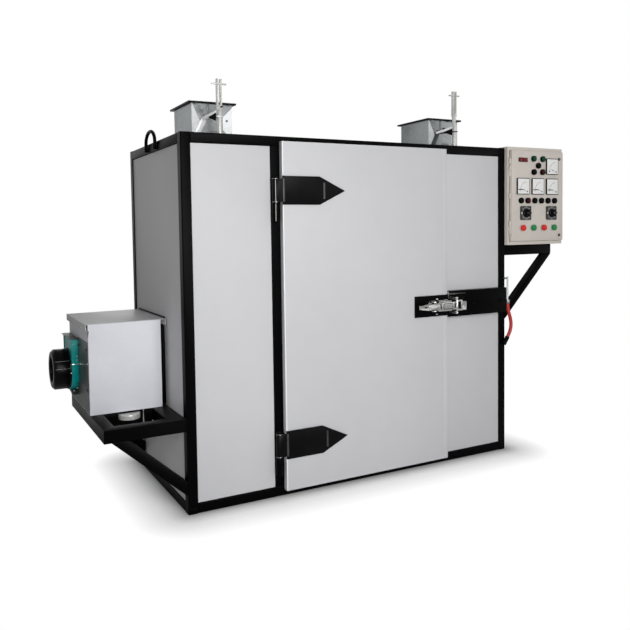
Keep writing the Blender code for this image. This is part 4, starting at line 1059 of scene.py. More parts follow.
@dataclass
class Studio:
    """A pale floor, soft lights and the camera of the photograph.

    Attributes:
        eye: the camera's place.
        look: the camera's turn about X, Y and Z in degrees.
        lens: the focal length on a sensor 36 mm wide.
        shift: the camera's shift.
        softboxes: the lights.
        ambient: the strength of the light from all around.
        screen: the share of it that is left on the oven's left.
        floor_size: the side of the floor.
        footprint: half of the oven's width and depth, where the floor's shadow starts.
        shadow_reach: how far out the floor keeps a shadow.
        painted_shadow_reach: how far out the floor has a painted shadow, a darker tone of its own.
        painted_shadow_tone: the floor's tone of painted shadow at the oven.
        floor_tone: its tone beyond.
        bounce_tone: the tone that lights the oven from below.
        mirror_loss: the share by which the floor is darker in a reflection.
    """

    eye: Triple = (-2.0266, -3.5045, 1.3401)
    look: Triple = (87.1031, 0.9196, -27.0565)
    lens: float = 39.373
    shift: Pair = (0.0476, -0.0801)
    softboxes: Sequence[Softbox] = (
        Softbox("key_softbox", (-1.0, -3.8, 1.5), (-0.2, -0.4, 0.9), 2.0, 95),
        Softbox("top_softbox", (0.6, -0.6, 4.4), (0.0, 0.0, 1.0), 3.0, 3),
        Softbox("right_softbox", (4.2, -2.6, 2.2), (0.4, 0.0, 1.0), 2.0, 6),
        Softbox("rear_softbox", (0.6, 4.6, 2.2), (0.0, 0.0, 1.0), 2.5, 24),
    )
    ambient: float = 0.27
    screen: float = 0.78
    floor_size: float = 60.0
    footprint: Triple = (0.98, 0.43, 0.0)
    shadow_reach: float = 0.28
    painted_shadow_reach: float = 0.12
    painted_shadow_tone: float = 168
    floor_tone: float = 243
    bounce_tone: float = 196
    mirror_loss: float = 0.6

    def build(self) -> None:
        """Makes the camera, the lights, the floor and the pale surroundings."""
        self.camera()
        for softbox in self.softboxes:
            softbox.build()
        self.floor()
        self.surroundings()
        bpy.context.scene.view_settings.view_transform = "Standard"

    def camera(self) -> None:
        """Makes the camera at the photograph's place."""
        data = bpy.data.cameras.new("photo_camera")
        data.sensor_width = 36.0
        data.lens = self.lens
        data.shift_x, data.shift_y = self.shift
        camera = bpy.data.objects.new("photo_camera", data)
        camera.location = self.eye
        camera.rotation_euler = Euler([math.radians(angle) for angle in self.look], "XYZ")
        bpy.context.scene.collection.objects.link(camera)
        bpy.context.scene.camera = camera

    def floor(self) -> None:
        """Makes the floor, which turns to plain white away from the oven but keeps its shadow, with a
        painted shadow in its own tone close to the oven.
        """
        bpy.ops.object.select_all(action="DESELECT")
        bpy.ops.mesh.primitive_plane_add(size=self.floor_size, location=(0.0, 0.0, -0.0005))
        floor = bpy.context.view_layer.objects.active
        floor.name = "studio_floor"
        bpy.ops.object.transform_apply(location=True, rotation=True, scale=True)
        material = bpy.data.materials.new("studio_floor")
        material.use_nodes = True
        tree = material.node_tree
        tree.nodes.clear()
        w = Wiring(tree)
        far = self.distance(w)
        plain = w.remap(far, (0.0, self.shadow_reach), (0.0, 1.0))
        # Painted shadow: the floor's own tone darkens towards the oven.
        painted_shadow = w.remap(far, (0.0, self.painted_shadow_reach), (0.0, 1.0))
        seen = w.math("MULTIPLY", w.math("MINIMUM", seen_directly(w), 1.0), plain)
        tone = w.mix(painted_shadow, grey(self.painted_shadow_tone), grey(self.floor_tone))
        rays = w.add("ShaderNodeLightPath").outputs
        tone = w.mix(rays["Is Diffuse Ray"], tone, grey(self.bounce_tone))
        matt = w.add("ShaderNodeBsdfDiffuse", {"Color": tone})
        strength = w.math("SUBTRACT", 1.0, w.math("MULTIPLY", rays["Is Glossy Ray"], self.mirror_loss))
        white = w.add("ShaderNodeEmission", {"Color": (1, 1, 1, 1), "Strength": strength})
        both = w.add("ShaderNodeMixShader", {0: seen, 1: matt.outputs[0], 2: white.outputs[0]})
        w.add("ShaderNodeOutputMaterial", {"Surface": both.outputs[0]})
        floor.data.materials.append(material)

    def distance(self, w: Wiring) -> Socket:
        """Adds what measures how far a spot on the floor is from the oven's footprint.

        Args:
            w: the wiring of the floor's material.

        Returns:
            The distance's socket.
        """
        place = w.add("ShaderNodeTexCoord").outputs["Object"]
        past = w.vector("SUBTRACT", w.vector("ABSOLUTE", place), self.footprint)
        return w.vector("LENGTH", w.vector("MAXIMUM", past, (0.0, 0.0, 0.0)))

    def surroundings(self) -> None:
        """Makes the world: white where it is seen, darker overhead in mirrors, else a soft fill."""
        world = bpy.data.worlds.new("studio")
        world.use_nodes = True
        tree = world.node_tree
        tree.nodes.clear()
        w = Wiring(tree)
        way = w.add("ShaderNodeSeparateXYZ", {0: w.add("ShaderNodeTexCoord").outputs["Generated"]})
        ceiling = w.remap(way.outputs["Z"], (0.2, 0.7), (0.0, 0.65), soft=True)
        mirrored = w.add("ShaderNodeLightPath").outputs["Is Glossy Ray"]
        plain = w.math("SUBTRACT", 1.0, w.math("MULTIPLY", ceiling, mirrored))
        screened = w.remap(way.outputs["X"], (-1.0, 0.0), (self.screen, 1.0))
        direct = w.math("MINIMUM", seen_directly(w), 1.0)
        dark = w.math("MULTIPLY", screened, self.ambient)
        bright = w.math("MAXIMUM", w.math("MULTIPLY", plain, screened), w.math("SUBTRACT", 1.0, mirrored))
        strength = w.remap(direct, (0, 1), (dark, bright))
        shade = w.add("ShaderNodeBackground", {"Color": (1, 1, 1, 1), "Strength": strength})
        w.add("ShaderNodeOutputWorld", {"Surface": shade.outputs[0]})
        bpy.context.scene.world = world


def seen_directly(w: Wiring) -> Socket:
    """Adds what tells a ray that is seen, mirrored or passes through glass, and returns its socket."""
    rays = w.add("ShaderNodeLightPath").outputs
    opaque = w.math("ADD", rays["Is Camera Ray"], rays["Is Glossy Ray"])
    return w.math("ADD", opaque, rays["Is Transmission Ray"])


@dataclass
class HoseRun:
    """The red hose that hangs from the conduit's collar and runs into the fitting by the post.

    Attributes:
        start: where it leaves the collar.
        mouth: the middle of the fitting's mouth.
        tilt: how far the fitting leans, in degrees.
        gap: how far the hose stays above the mouth.
        straight: how far it runs straight at both ends.
        start_reach: how strongly its upper end pulls the curve.
        end_reach: how strongly its lower end pulls it.
        radius: its radius.
        steps: how many steps its curve has.
    """

    start: Triple = (1.007, -0.464, 0.8817)
    mouth: Triple = (1.006, -0.464, 0.68)
    tilt: float = 35.0
    gap: float = 0.0003
    straight: float = 0.006
    start_reach: float = 0.065
    end_reach: float = 0.1
    radius: float = 0.01
    steps: int = 24

    def route(self) -> list[Vector]:
        """Follows the hose's middle from the collar to the fitting, in even small steps.

        Returns:
            The points that the hose follows.
        """
        away = Vector((math.sin(math.radians(self.tilt)), 0.0, math.cos(math.radians(self.tilt))))
        down = Vector((0, 0, -1))
        start, end = Vector(self.start), Vector(self.mouth) + away * self.gap
        first, last = start + down * self.straight, end + away * self.straight
        handles = (first, first + down * self.start_reach, last + away * self.end_reach, last)
        points = [start]
        for step in range(self.steps + 1):
            t = step / self.steps
            shares = ((1 - t) ** 3, 3 * t * (1 - t) ** 2, 3 * t * t * (1 - t), t ** 3)
            points.append(sum((h * s for h, s in zip(handles, shares)), Vector((0, 0, 0))))
        return points + [end]

    def build(self) -> None:
        """Makes the hose as a curve, and hides the solid hose that it stands for."""
        points = self.route()
        curve = bpy.data.curves.new("red_hose", "CURVE")
        curve.dimensions = "3D"
        curve.bevel_depth = self.radius
        curve.bevel_resolution = 8
        curve.use_fill_caps = True
        spline = curve.splines.new("POLY")
        spline.points.add(len(points) - 1)
        for knot, point in zip(spline.points, points):
            knot.co = (*point, 1.0)
        spline.use_smooth = True
        hose = bpy.data.objects.new("red_hose", curve)
        bpy.context.scene.collection.objects.link(hose)
        curve.materials.append(RED_HOSE.material())
        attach(hose, "oven")
        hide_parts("hose")


@dataclass
class Door:
    """The door's hinges, seal, folded edge with its painted highlight strip, and cover strip.

    Attributes:
        axis: the hinge's middle, across and in depth.
        hinge_heights: how high the middle of each strap is.
        face: how far forward the door's face is.
        left: its left edge.
        right: its free edge.
        low: its lower edge.
        high: its upper edge.
        strip_left: where the cover strip along the free edge starts.
        latch_span: the heights between which the latch interrupts that strip.
        plug: the lower left and upper right corner of the plug behind the door.
        rope_gap: how far the rope seal stays from the plug.
        rope_radius: its radius.
        rope_depth: how far back its middle is.
    """

    axis: Pair = (-0.528, -0.471)
    hinge_heights: Pair = (1.533, 0.267)
    face: float = -0.485
    left: float = -0.495
    right: float = 0.53
    low: float = 0.033
    high: float = 1.773
    strip_left: float = 0.502
    latch_span: Pair = (0.8445, 0.9655)
    plug: tuple[Pair, Pair] = ((-0.441, 0.13), (0.48, 1.67))
    rope_gap: float = 0.011
    rope_radius: float = 0.0026
    rope_depth: float = -0.4526

    def build(self) -> None:
        """Makes the pieces of both hinges, the painted highlight strip along the folded edge, the cover
        strip and the seal.
        """
        for number, height in enumerate(self.hinge_heights, 1):
            self.hinge(number, height)
            self.strap_folds(number, height)
        self.pin_highlights()
        self.edge_highlight()
        self.cover_strip()
        self.seal()

    def hinge(self, number: int, height: float) -> None:
        """Makes one hinge's bright washers, its cap and its weld to the post.

        Args:
            number: the hinge's number.
            height: how high the middle of its strap is.
        """
        x, y = self.axis
        for place, side in (("upper", 0.057), ("lower", -0.057)):
            z = height + side
            washer = Bench(f"hinge_washer_{number}_{place}")
            washer.rod((x, y, z - 0.0008), (x, y, z + 0.0008), 0.0168, 40)
            washer.done(BRIGHT_STEEL, "oven", edge=0.0004)
        cap = Bench(f"hinge_cap_{number}")
        cap.rod((x, y, height + 0.0641), (x, y, height + 0.0665), 0.0128, 40)
        cap.side(Way.UP).inset(0.005, 0.0012)
        cap.done(BLACK_ENAMEL, "oven", edge=0.0006)
        x, y = x + 0.012, y + 0.017
        bead = Bench(f"hinge_weld_{number}")
        bead.rod((x, y, height - 0.152), (x, y, height - 0.062), 0.0032, 12)
        bead.done(BLACK_ENAMEL, "oven")

    def strap_folds(self, number: int, height: float) -> None:
        """Makes one strap's fold at the barrel and its pressed line near the tip, raised ridges in a
        lighter grey that paints their highlight.

        Args:
            number: the hinge's number.
            height: how high the middle of its strap is.
        """
        front = self.face - 0.0083
        y = front + 0.0012
        for place, x, half in (("barrel", -0.4905, 0.056), ("tip", -0.262, 0.041)):
            fold = Bench(f"strap_fold_{number}_{place}")
            fold.rod((x, y, height - half), (x, y, height + half), 0.0026, 16)
            fold.scale((2.2, 1.0, 1.0), (x, front, height))
            fold.done(FOLD_HIGHLIGHT_ENAMEL, "door")

    def pin_highlights(self) -> None:
        """Makes the light line on the upper hinge's barrel, and the one on its lug, painted highlights
        where the round barrel catches the light.
        """
        x, y, height = self.axis[0] - 0.0048, self.axis[1] - 0.0148, self.hinge_heights[0]
        for body, low, high in (("door", -0.05, 0.05), ("oven", -0.15, -0.066)):
            line = Bench(f"hinge_highlight_{body}")
            line.rod((x, y, height + low), (x, y, height + high), 0.0016, 12)
            line.ends(Axis.Z).inset(0.0005, 0.001, each=True)
            line.done(PIN_HIGHLIGHT, body)

    def edge_highlight(self) -> None:
        """Makes the painted highlight strip along the door's left fold, which the two straps interrupt."""
        spans = ((self.low + 0.003, 0.194), (0.34, 1.46), (1.606, self.high - 0.003))
        left, right = self.left + 0.0004, self.left + 0.0056
        for number, (low, high) in enumerate(spans, 1):
            fold = Bench(f"door_highlight_strip_{number}")
            fold.block((left, self.face - 0.0006, low), (right, self.face + 0.0006, high))
            fold.side(Way.FRONT).inset(0.0008, 0.0002)
            fold.done(PAINTED_HIGHLIGHT_EDGE, "door", edge=0.0002)

    def cover_strip(self) -> None:
        """Makes the cover strip along the door's free edge, above and below the latch."""
        below, above = self.latch_span
        left, right = self.strip_left, self.right - 0.0005
        for place, low, high in (("upper", above, self.high - 0.002), ("lower", self.low + 0.002, below)):
            strip = Bench(f"door_edge_{place}")
            strip.block((left, self.face - 0.0009, low), (right, self.face + 0.001, high))
            strip.done(GREY_POWDER, "door", edge=0.0003)

    def seal(self) -> None:
        """Makes the rope seal that runs round the plug on the door's inner face."""
        (left, low), (right, high) = self.plug
        left, low = left - self.rope_gap, low - self.rope_gap
        right, high = right + self.rope_gap, high + self.rope_gap
        spots = ((left, low), (right, low), (right, high), (left, high))
        corners = [(x, self.rope_depth, z) for x, z in spots]
        seal = Bench("door_seal")
        for start, end in zip(corners, corners[1:] + corners[:1]):
            seal.rod(start, end, self.rope_radius, 12)
            seal.ball(end, self.rope_radius, 12)
        seal.done(SEAL_ROPE, "door", merge=False)


@dataclass
class Latch:
    """The toggle latch: its base on the door, its lever, its hook bar and its catch.

    Attributes:
        middle: how high it sits.
        axis: the lever's pin, across and in depth.
        bar: the bail's bar, across and in depth.
        plate_front: how far forward the latch's plate is.
        keeper_front: how far forward the keeper is.
    """

    middle: float = 0.905
    axis: Pair = (0.422, -0.528)
    bar: Pair = (0.552, -0.542)
    plate_front: float = -0.4953
    keeper_front: float = -0.488

    def build(self) -> None:
        """Makes the pieces of the latch, from the base to the keeper."""
        self.base()
        self.pin()
        self.lever()
        self.hub()
        self.draw_plate()
        self.bail_bar()
        self.hook()
        self.catch()
        self.keeper()

    def base(self) -> None:
        """Makes the pressed base with its two side walls and its four rivets."""
        z, front = self.middle, self.plate_front
        foot = Bench("latch_base")
        foot.block((0.392, front - 0.0022, z - 0.029), (0.5255, front + 0.0005, z + 0.029))
        foot.edges(Axis.Y).bevel(0.006, 3)
        foot.done(CAST_ZINC, "door", edge=0.0006)
        wall = Bench("latch_wall_upper")
        wall.block((0.394, -0.5365, z + 0.0222), (0.5245, front - 0.001, z + 0.0278))
        wall.edges(Axis.Z, lambda m: m.y < -0.53 and m.x < 0.4).bevel(0.02, 4)
        wall.edges(Axis.Z, lambda m: m.y < -0.53 and m.x > 0.5).bevel(0.006, 3)
        upper = wall.done(CAST_ZINC, "door", edge=0.0008)
        repeat(upper, "latch_wall_lower", (0.0, 0.0, -0.05))
        x, z = 0.402, z - 0.0225
        rivet = Bench("latch_base_rivet_1")
        rivet.rod((x, front - 0.0018, z), (x, front - 0.0042, z), 0.0032, 16)
        first = rivet.done(BRIGHT_STEEL, "door", edge=0.0008)
        row(first, "latch_base_rivet", ((0.0, 0.0, 0.045), (0.058, 0.0, 0.004), (0.058, 0.0, 0.041)))

    def pin(self) -> None:
        """Makes the head and the riveted tail of the lever's pin."""
        (x, y), z = self.axis, self.middle
        head = Bench("latch_pin_head").rod((x, y, z + 0.0388), (x, y, z + 0.043), 0.0078, 24)
        head.side(Way.UP).inset(0.003).move((0, 0, 0.0018))
        head.done(CAST_ZINC, "door", edge=0.0005)
        tail = Bench("latch_pin_tail").taper((x, y, z - 0.0388), (x, y, z - 0.046), (0.0066, 0.0022), 20)
        tail.done(CAST_ZINC, "door", edge=0.0005)

    def lever(self) -> None:
        """Makes the lever's pressed grip with its slot and its three ribs."""
        z = self.middle
        grip = Bench("latch_grip").block((0.3035, -0.5412, z - 0.0172), (0.356, -0.5386, z + 0.0172))
        grip.side(Way.LEFT).scale((1.0, 1.0, 0.62), (0.3035, -0.54, z))
        grip.side(Way.RIGHT).extrude((0.048, 0.0, 0.0)).scale((1.0, 1.0, 0.82), (0.404, -0.54, z))
        grip.edges(Axis.Y, lambda m: m.x < 0.31).bevel(0.005, 3)
        grip.side(Way.FRONT).inset(0.0034, -0.0011)
        grip.done(CAST_ZINC, "lever", edge=0.0007)
        # The slot is a near-black block that paints the shade in it.
        slot = Bench("latch_grip_slot").block((0.328, -0.5408, z - 0.0035), (0.348, -0.5398, z + 0.0035))
        slot.edges(Axis.Y).bevel(0.003, 4)
        slot.done(PAINTED_SHADE_BLACK, "lever")
        x, y = 0.362, -0.5404
        rib = Bench("latch_grip_rib_1").rod((x, y, z - 0.01), (x, y, z + 0.01), 0.0014, 12)
        rib.ends(Axis.Z).inset(0.0004, 0.0006, each=True)
        first = rib.done(CAST_ZINC, "lever")
        row(first, "latch_grip_rib", ((0.009, 0.0, 0.0), (0.018, 0.0, 0.0)))

    def hub(self) -> None:
        """Makes the lever's turned hub on the pin."""
        (x, y), z = self.axis, self.middle
        hub = Bench("latch_hub").rod((x, y, z - 0.0206), (x, y, z + 0.0206), 0.0136, 36)
        hub.ends(Axis.Z).inset(0.004, 0.0, each=True)
        hub.done(CAST_ZINC, "lever", edge=0.0006)

    def draw_plate(self) -> None:
        """Makes the bail's draw plate with the groove round its raised middle, in dark zinc that paints
        the shade in the groove.
        """
        z = self.middle
        plate = Bench("latch_draw_plate")
        plate.block((0.441, -0.5486, z - 0.0208), (0.529, -0.5469, z + 0.0208))
        plate.edges(Axis.Y, lambda m: m.x > 0.5).bevel(0.009, 4)
        plate.edges(Axis.Y, lambda m: m.x < 0.45).bevel(0.004, 3)
        plate.done(CAST_ZINC, "bail", edge=0.0005)
        groove = Bench("latch_draw_plate_groove_shade")
        groove.block((0.4515, -0.5489, z - 0.0164), (0.519, -0.5478, z + 0.0164))
        groove.edges(Axis.Y).bevel(0.006, 4)
        groove.done(DARK_ZINC_AND_SHADE, "bail")
        raised = Bench("latch_draw_plate_raised")
        raised.block((0.456, -0.5498, z - 0.0125), (0.514, -0.5482, z + 0.0125))
        raised.edges(Axis.Y).bevel(0.0045, 4)
        raised.side(Way.FRONT).inset(0.0022).scale((0.97, 1.0, 0.92), (0.485, -0.5498, z))
        raised.done(CAST_ZINC, "bail", edge=0.0003)

    def bail_bar(self) -> None:
        """Makes the nuts on the bail's arms, and the ball ends and the sleeve of its bar."""
        (x, y), z = self.bar, self.middle
        nut = Bench("latch_bail_nut_upper").hexagon((0.5312, y, z + 0.017), Axis.X, 0.0118, 0.0075)
        upper = nut.done(BRIGHT_STEEL, "bail", edge=0.0004)
        repeat(upper, "latch_bail_nut_lower", (0.0, 0.0, -0.034))
        for place, side in (("upper", 1), ("lower", -1)):
            ball = Bench(f"latch_bar_ball_{place}").ball((x, y, z + side * 0.0412), 0.0068, 24)
            ball.faces(lambda m, n, s=side: n.z * s > 0.85).scale((0.9, 0.9, 1.0), (x, y, z))
            ball.done(CAST_ZINC, "bail")
        sleeve = Bench("latch_bar_sleeve").rod((x, y, z - 0.0285), (x, y, z + 0.0285), 0.0072, 28)
        sleeve.ends(Axis.Z).inset(0.0015, 0.0008, each=True)
        sleeve.done(CAST_ZINC, "bail", edge=0.0006)

    def hook(self) -> None:
        """Makes the hook behind the bar, and the two arms that hold it."""
        z = self.middle
        hook = Bench("latch_hook").block((0.5785, -0.5462, z - 0.0295), (0.588, -0.5352, z + 0.0295))
        hook.done(CAST_ZINC, "bail", edge=0.0022)
        arm = Bench("latch_hook_arm_upper")
        arm.block((0.5535, -0.5458, z + 0.0205), (0.5845, -0.5362, z + 0.0293))
        arm.edges(Axis.Y, lambda m: m.x > 0.57 and m.z > z + 0.025).bevel(0.003, 3)
        upper = arm.done(CAST_ZINC, "bail", edge=0.0012)
        repeat(upper, "latch_hook_arm_lower", (0.0, 0.0, -0.0498))

    def catch(self) -> None:
        """Makes the catch's base plate, and its block with the clamping screw."""
        z = self.middle
        plate = Bench("latch_catch_plate")
        plate.block((0.539, -0.4934, z - 0.0462), (0.644, -0.4905, z + 0.0462))
        plate.edges(Axis.Y).bevel(0.004, 3)
        plate.done(BLACK_ENAMEL, "oven", edge=0.0005)
        z -= 0.008
        block = Bench("latch_block").block((0.602, -0.5158, z - 0.0242), (0.644, -0.4918, z + 0.0242))
        block.edges(Axis.Y).bevel(0.0035, 3)
        block.side(Way.FRONT).inset(0.0042, -0.0009)
        block.done(CAST_ZINC, "oven", edge=0.0008)
        screw = Bench("latch_block_screw").rod((0.62, -0.5146, z), (0.62, -0.5164, z), 0.0076, 28)
        screw.side(Way.FRONT).inset(0.0028, -0.0012)
        screw.done(BRIGHT_STEEL, "oven", edge=0.0004)

    def keeper(self) -> None:
        """Makes the keeper bar's bright end strip, which paints the light on its end face, its worn lip
        and its two bolts.
        """
        front = self.keeper_front
        strip = Bench("keeper_end_highlight")
        strip.block((0.5362, front - 0.0006, 0.932), (0.5378, -0.4515, 0.9785))
        strip.done(BRIGHT_STEEL, "oven", edge=0.0003)
        lip = Bench("keeper_lip").block((0.5395, front - 0.0012, 0.959), (0.66, front + 0.0002, 0.97))
        lip.side(Way.RIGHT).scale((1.0, 0.2, 0.15), (0.66, front, 0.9645))
        lip.done(WORN_STEEL, "oven", edge=0.0003)
        bolt = Bench("keeper_bolt_1").hexagon((0.72, front, 0.9075), Axis.Y, 0.017, -0.006)
        first = bolt.done(BLACK_ENAMEL, "oven", edge=0.0005)
        row(first, "keeper_bolt", ((0.21, 0.0, 0.0),))


@dataclass
class Cabinet:
    """The weld beads of the oven's tube frame and the seams of its lining.

    Attributes:
        front: how far forward the frame is.
        corner: the middle of the upper left corner's joint, across and up.
        joints: where the other posts meet the beams, across and up.
        rear: how far back the chamber's rear wall is.
        seam_pitch: the distance between the lining's seams.
    """

    front: float = -0.45
    corner: Pair = (-0.975, 1.775)
    joints: Sequence[Pair] = (
        (0.975, 1.775), (-0.975, 0.025), (0.975, 0.025),
        (-0.5035, 1.75), (0.53, 1.75), (-0.5035, 0.05), (0.53, 0.05),
    )
    rear: float = 0.3448
    seam_pitch: float = 0.45

    def build(self) -> None:
        """Makes the welds at the front corners and the chamber's seams."""
        self.corner_welds()
        self.inner_seams()

    def corner_welds(self) -> None:
        """Makes the ground weld beads where the front posts meet the front beams."""
        (x, z), y = self.corner, self.front + 0.0002
        bead = Bench("frame_weld_1").rod((x - 0.02, y, z), (x + 0.02, y, z), 0.0018, 10)
        bead.ends(Axis.X).inset(0.0006, 0.0008, each=True)
        first = bead.done(BLACK_ENAMEL, "oven")
        row(first, "frame_weld", [(at_x - x, 0.0, at_z - z) for at_x, at_z in self.joints])

    def inner_seams(self) -> None:
        """Makes the lapped seams of the lining on the chamber's rear wall."""
        x = -self.seam_pitch
        seam = Bench("lining_seam_1")
        seam.block((x - 0.014, self.rear - 0.0014, 0.106), (x + 0.014, self.rear, 1.69))
        seam.side(Way.FRONT).inset(0.004)
        first = seam.done(LINING_SHEET, "oven", edge=0.0003)
        row(first, "lining_seam", [(self.seam_pitch * step, 0.0, 0.0) for step in (1, 2)])


class Lens(Enum):
    """The finishes of the pilot lamps' lenses, by colour."""

    GREEN = GREEN_LENS
    RED = RED_LENS
    CLEAR = DARK_LENS


@dataclass
class ControlBox:
    """The instruments, lamps, switches and locks on the control box's door.

    Attributes:
        face: how far forward the door's face is.
        left: the door's left edge.
        right: its right edge.
        low: its lower edge.
        high: its upper edge.
        meters: the middles of the three meters, across and up.
        regulator: the regulator's middle.
        display: the display's middle.
        switches: the middles of the two rotary switches.
        first_button: the middle of the leftmost push button.
        button_pitch: the distance from one push button to the next.
        lamp_row: the middle of the leftmost lamp in the row of six.
        lamp_pitch: the distance from one lamp of the row to the next.
        hinge: the middle of the door's hinge, across and in depth.
        knuckle_heights: how high its three knuckles are.
        lock_column: where the two locks are, across.
    """

    face: float = -0.4898
    left: float = 1.0143
    right: float = 1.4363
    low: float = 1.25
    high: float = 1.785
    meters: Sequence[Pair] = ((1.1003, 1.575), (1.2198, 1.575), (1.3393, 1.575))
    regulator: Pair = (1.3393, 1.696)
    display: Pair = (1.1023, 1.731)
    switches: Sequence[Pair] = ((1.1213, 1.416), (1.3343, 1.416))
    first_button: Pair = (1.0953, 1.328)
    button_pitch: float = 0.0855
    lamp_row: Pair = (1.0843, 1.49)
    lamp_pitch: float = 0.0552
    hinge: Pair = (1.0088, -0.4805)
    knuckle_heights: Triple = (1.723, 1.5175, 1.312)
    lock_column: float = 1.405

    def build(self) -> None:
        """Makes everything that sits on the door, from the painted shade of its gap to its hinge."""
        self.panel_gap_shade()
        self.instruments()
        self.digital_display()
        self.lamps()
        self.switch_plates()
        self.knob_pointers()
        self.button_bezels()
        self.button_caps()
        self.locks()
        self.knuckles()

    def panel_gap_shade(self) -> None:
        """Makes the grey strip behind the door's edge that shows as a thin darker line around the door,
        painting the shade in the gap.
        """
        over = 0.0022
        low, high = self.low - over, self.high + over
        seal = Bench("panel_gap_shade")
        seal.block((self.left - over, -0.4722, low), (self.right + over, -0.4703, high))
        seal.side(Way.BACK).inset(0.012, -0.0008)
        seal.done(GAP_SHADE_GREY, "panel_door", edge=0.0005)

    def instruments(self) -> None:
        """Makes the three meters, and the regulator above the right one."""
        x, z = self.meters[0]
        front = self.face - 0.0092
        housing = Bench("meter_housing_1").tile((x, z), (0.0485, 0.0485), front, self.face + 0.0004)
        housing.edges(Axis.Y).bevel(0.003, 3)
        housing.side(Way.FRONT).inset(0.0032, -0.001)
        first = housing.done(BLACK_MOULDING, "panel_door", edge=0.0006)
        dial = Bench("meter_dial_1")
        dial.block((x - 0.0445, front - 0.0002, z - 0.0445), (x + 0.0452, front + 0.002, z + 0.0445))
        dial.side(Way.FRONT).inset(0.0015, 0.0003)
        plate = dial.done(DIAL_PAPER, "panel_door", edge=0.0004)
        marks = self.dial_marks("meter_scale_1", x, z, front - 0.0007)
        cover, screw = self.meter_trim(x, z, front)
        for number, (mx, mz) in enumerate((*self.meters[1:], self.regulator), 2):
            step = (mx - x, 0.0, mz - z)
            repeat(first, f"meter_housing_{number}", step)
            repeat(plate, f"meter_dial_{number}", step)
            repeat(marks, f"meter_scale_{number}", step)
            if (mx, mz) in self.meters:
                repeat(cover, f"meter_cover_{number}", step)
                repeat(screw, f"meter_screw_{number}", step)
        self.regulator_trim(screw, front)

    def meter_trim(self, x: float, z: float, front: float) -> tuple[Piece, Piece]:
        """Makes the first meter's movement cover and its zero screw.

        Args:
            x: the meter's middle from left to right.
            z: its middle in height.
            front: how far forward its housing reaches.

        Returns:
            The cover and the screw.
        """
        cover = Bench("meter_cover_1")
        cover.block((x - 0.04, front - 0.0016, z - 0.0235), (x + 0.004, front - 0.0002, z - 0.0178))
        cover.side(Way.RIGHT).scale((1.0, 1.0, 0.6), (x, front, z - 0.0205))
        made = cover.done(BLACK_MOULDING, "panel_door", edge=0.0003)
        x, z = x + 0.029, z - 0.031
        screw = Bench("meter_screw_1").rod((x, front - 0.0018, z), (x, front, z), 0.0042, 20)
        screw.side(Way.FRONT).inset(0.0012, -0.0006)
        return made, screw.done(BLACK_MOULDING, "panel_door", edge=0.0003)

    def regulator_trim(self, screw: Piece, front: float) -> None:
        """Makes the regulator's two screws and the mark below its scale.

        Args:
            screw: the first meter's screw.
            front: how far forward the housings reach.
        """
        (x, z), (rx, rz) = self.meters[0], self.regulator
        for number, (dx, dz) in enumerate(((-0.0005, -0.0005), (-0.057, 0.0015)), 1):
            repeat(screw, f"regulator_screw_{number}", (rx - x + dx, 0.0, rz - z + dz))
        y = front - 0.001
        mark = Bench("regulator_mark")
        mark.rod((rx - 0.006, y, rz - 0.026), (rx + 0.006, y, rz - 0.022), 0.0013, 10)
        mark.done(BLACK_MOULDING, "panel_door")

    def dial_marks(self, name: str, x: float, z: float, y: float) -> Piece:
        """Makes one dial's arc, its graduations and its pointer.

        Args:
            name: the piece's name.
            x: the dial's middle from left to right.
            z: the dial's middle in height.
            y: how far forward the print lies.

        Returns:
            The piece with the dial's marks.
        """
        pivot, radius = Vector((x + 0.027, y, z - 0.029)), 0.056
        rays = [upright(98 + 4.6 * step) for step in range(19)]
        marks = Bench(name)
        for step, ray in enumerate(rays):
            long = 0.0035 if step % 3 else 0.006
            marks.rod(pivot + ray * radius, pivot + ray * (radius - long), 0.00045, 6)
        for first, last in zip(rays, rays[1:]):
            marks.rod(pivot + first * radius, pivot + last * radius, 0.0004, 6)
        hub, needle = pivot - Vector((0.0, 0.0003, 0.0)), upright(164)
        marks.taper(hub + needle * 0.012, hub + needle * 0.052, (0.0011, 0.0004), 8)
        return marks.done(PRINT_INK, "panel_door", merge=False)

    def digital_display(self) -> None:
        """Makes the display's dark window with its red figures."""
        x, z = self.display
        front = self.face - 0.0052
        window = Bench("display_window").tile((x, z), (0.0345, 0.0125), front, self.face + 0.0004)
        window.edges(Axis.Y).bevel(0.0015, 2)
        window.side(Way.FRONT).inset(0.0018, -0.0004)
        window.done(DISPLAY_WINDOW, "panel_door", edge=0.0004)
        half_wide, half_tall, thin = 0.0031, 0.0034, 0.0008
        ends = {
            "a": ((-1, 2), (1, 2)), "b": ((1, 0), (1, 2)), "c": ((1, -2), (1, 0)),
            "d": ((-1, -2), (1, -2)), "e": ((-1, -2), (-1, 0)), "f": ((-1, 0), (-1, 2)),
            "g": ((-1, 0), (1, 0)),
        }
        figures = Bench("display_figures")
        shown = ((-0.0255, "bc"), (-0.0125, "abcdefg"), (0.0085, "abcdef"), (0.0215, "abdeg"))
        for spot, strokes in shown:
            for stroke in strokes:
                start, end = (
                    Vector((x + spot + a * half_wide, front - 0.0002, z + b * half_tall))
                    for a, b in ends[stroke]
                )
                figures.rod(start, end, thin, 6)
        figures.done(DISPLAY_FIGURES, "panel_door", merge=False)

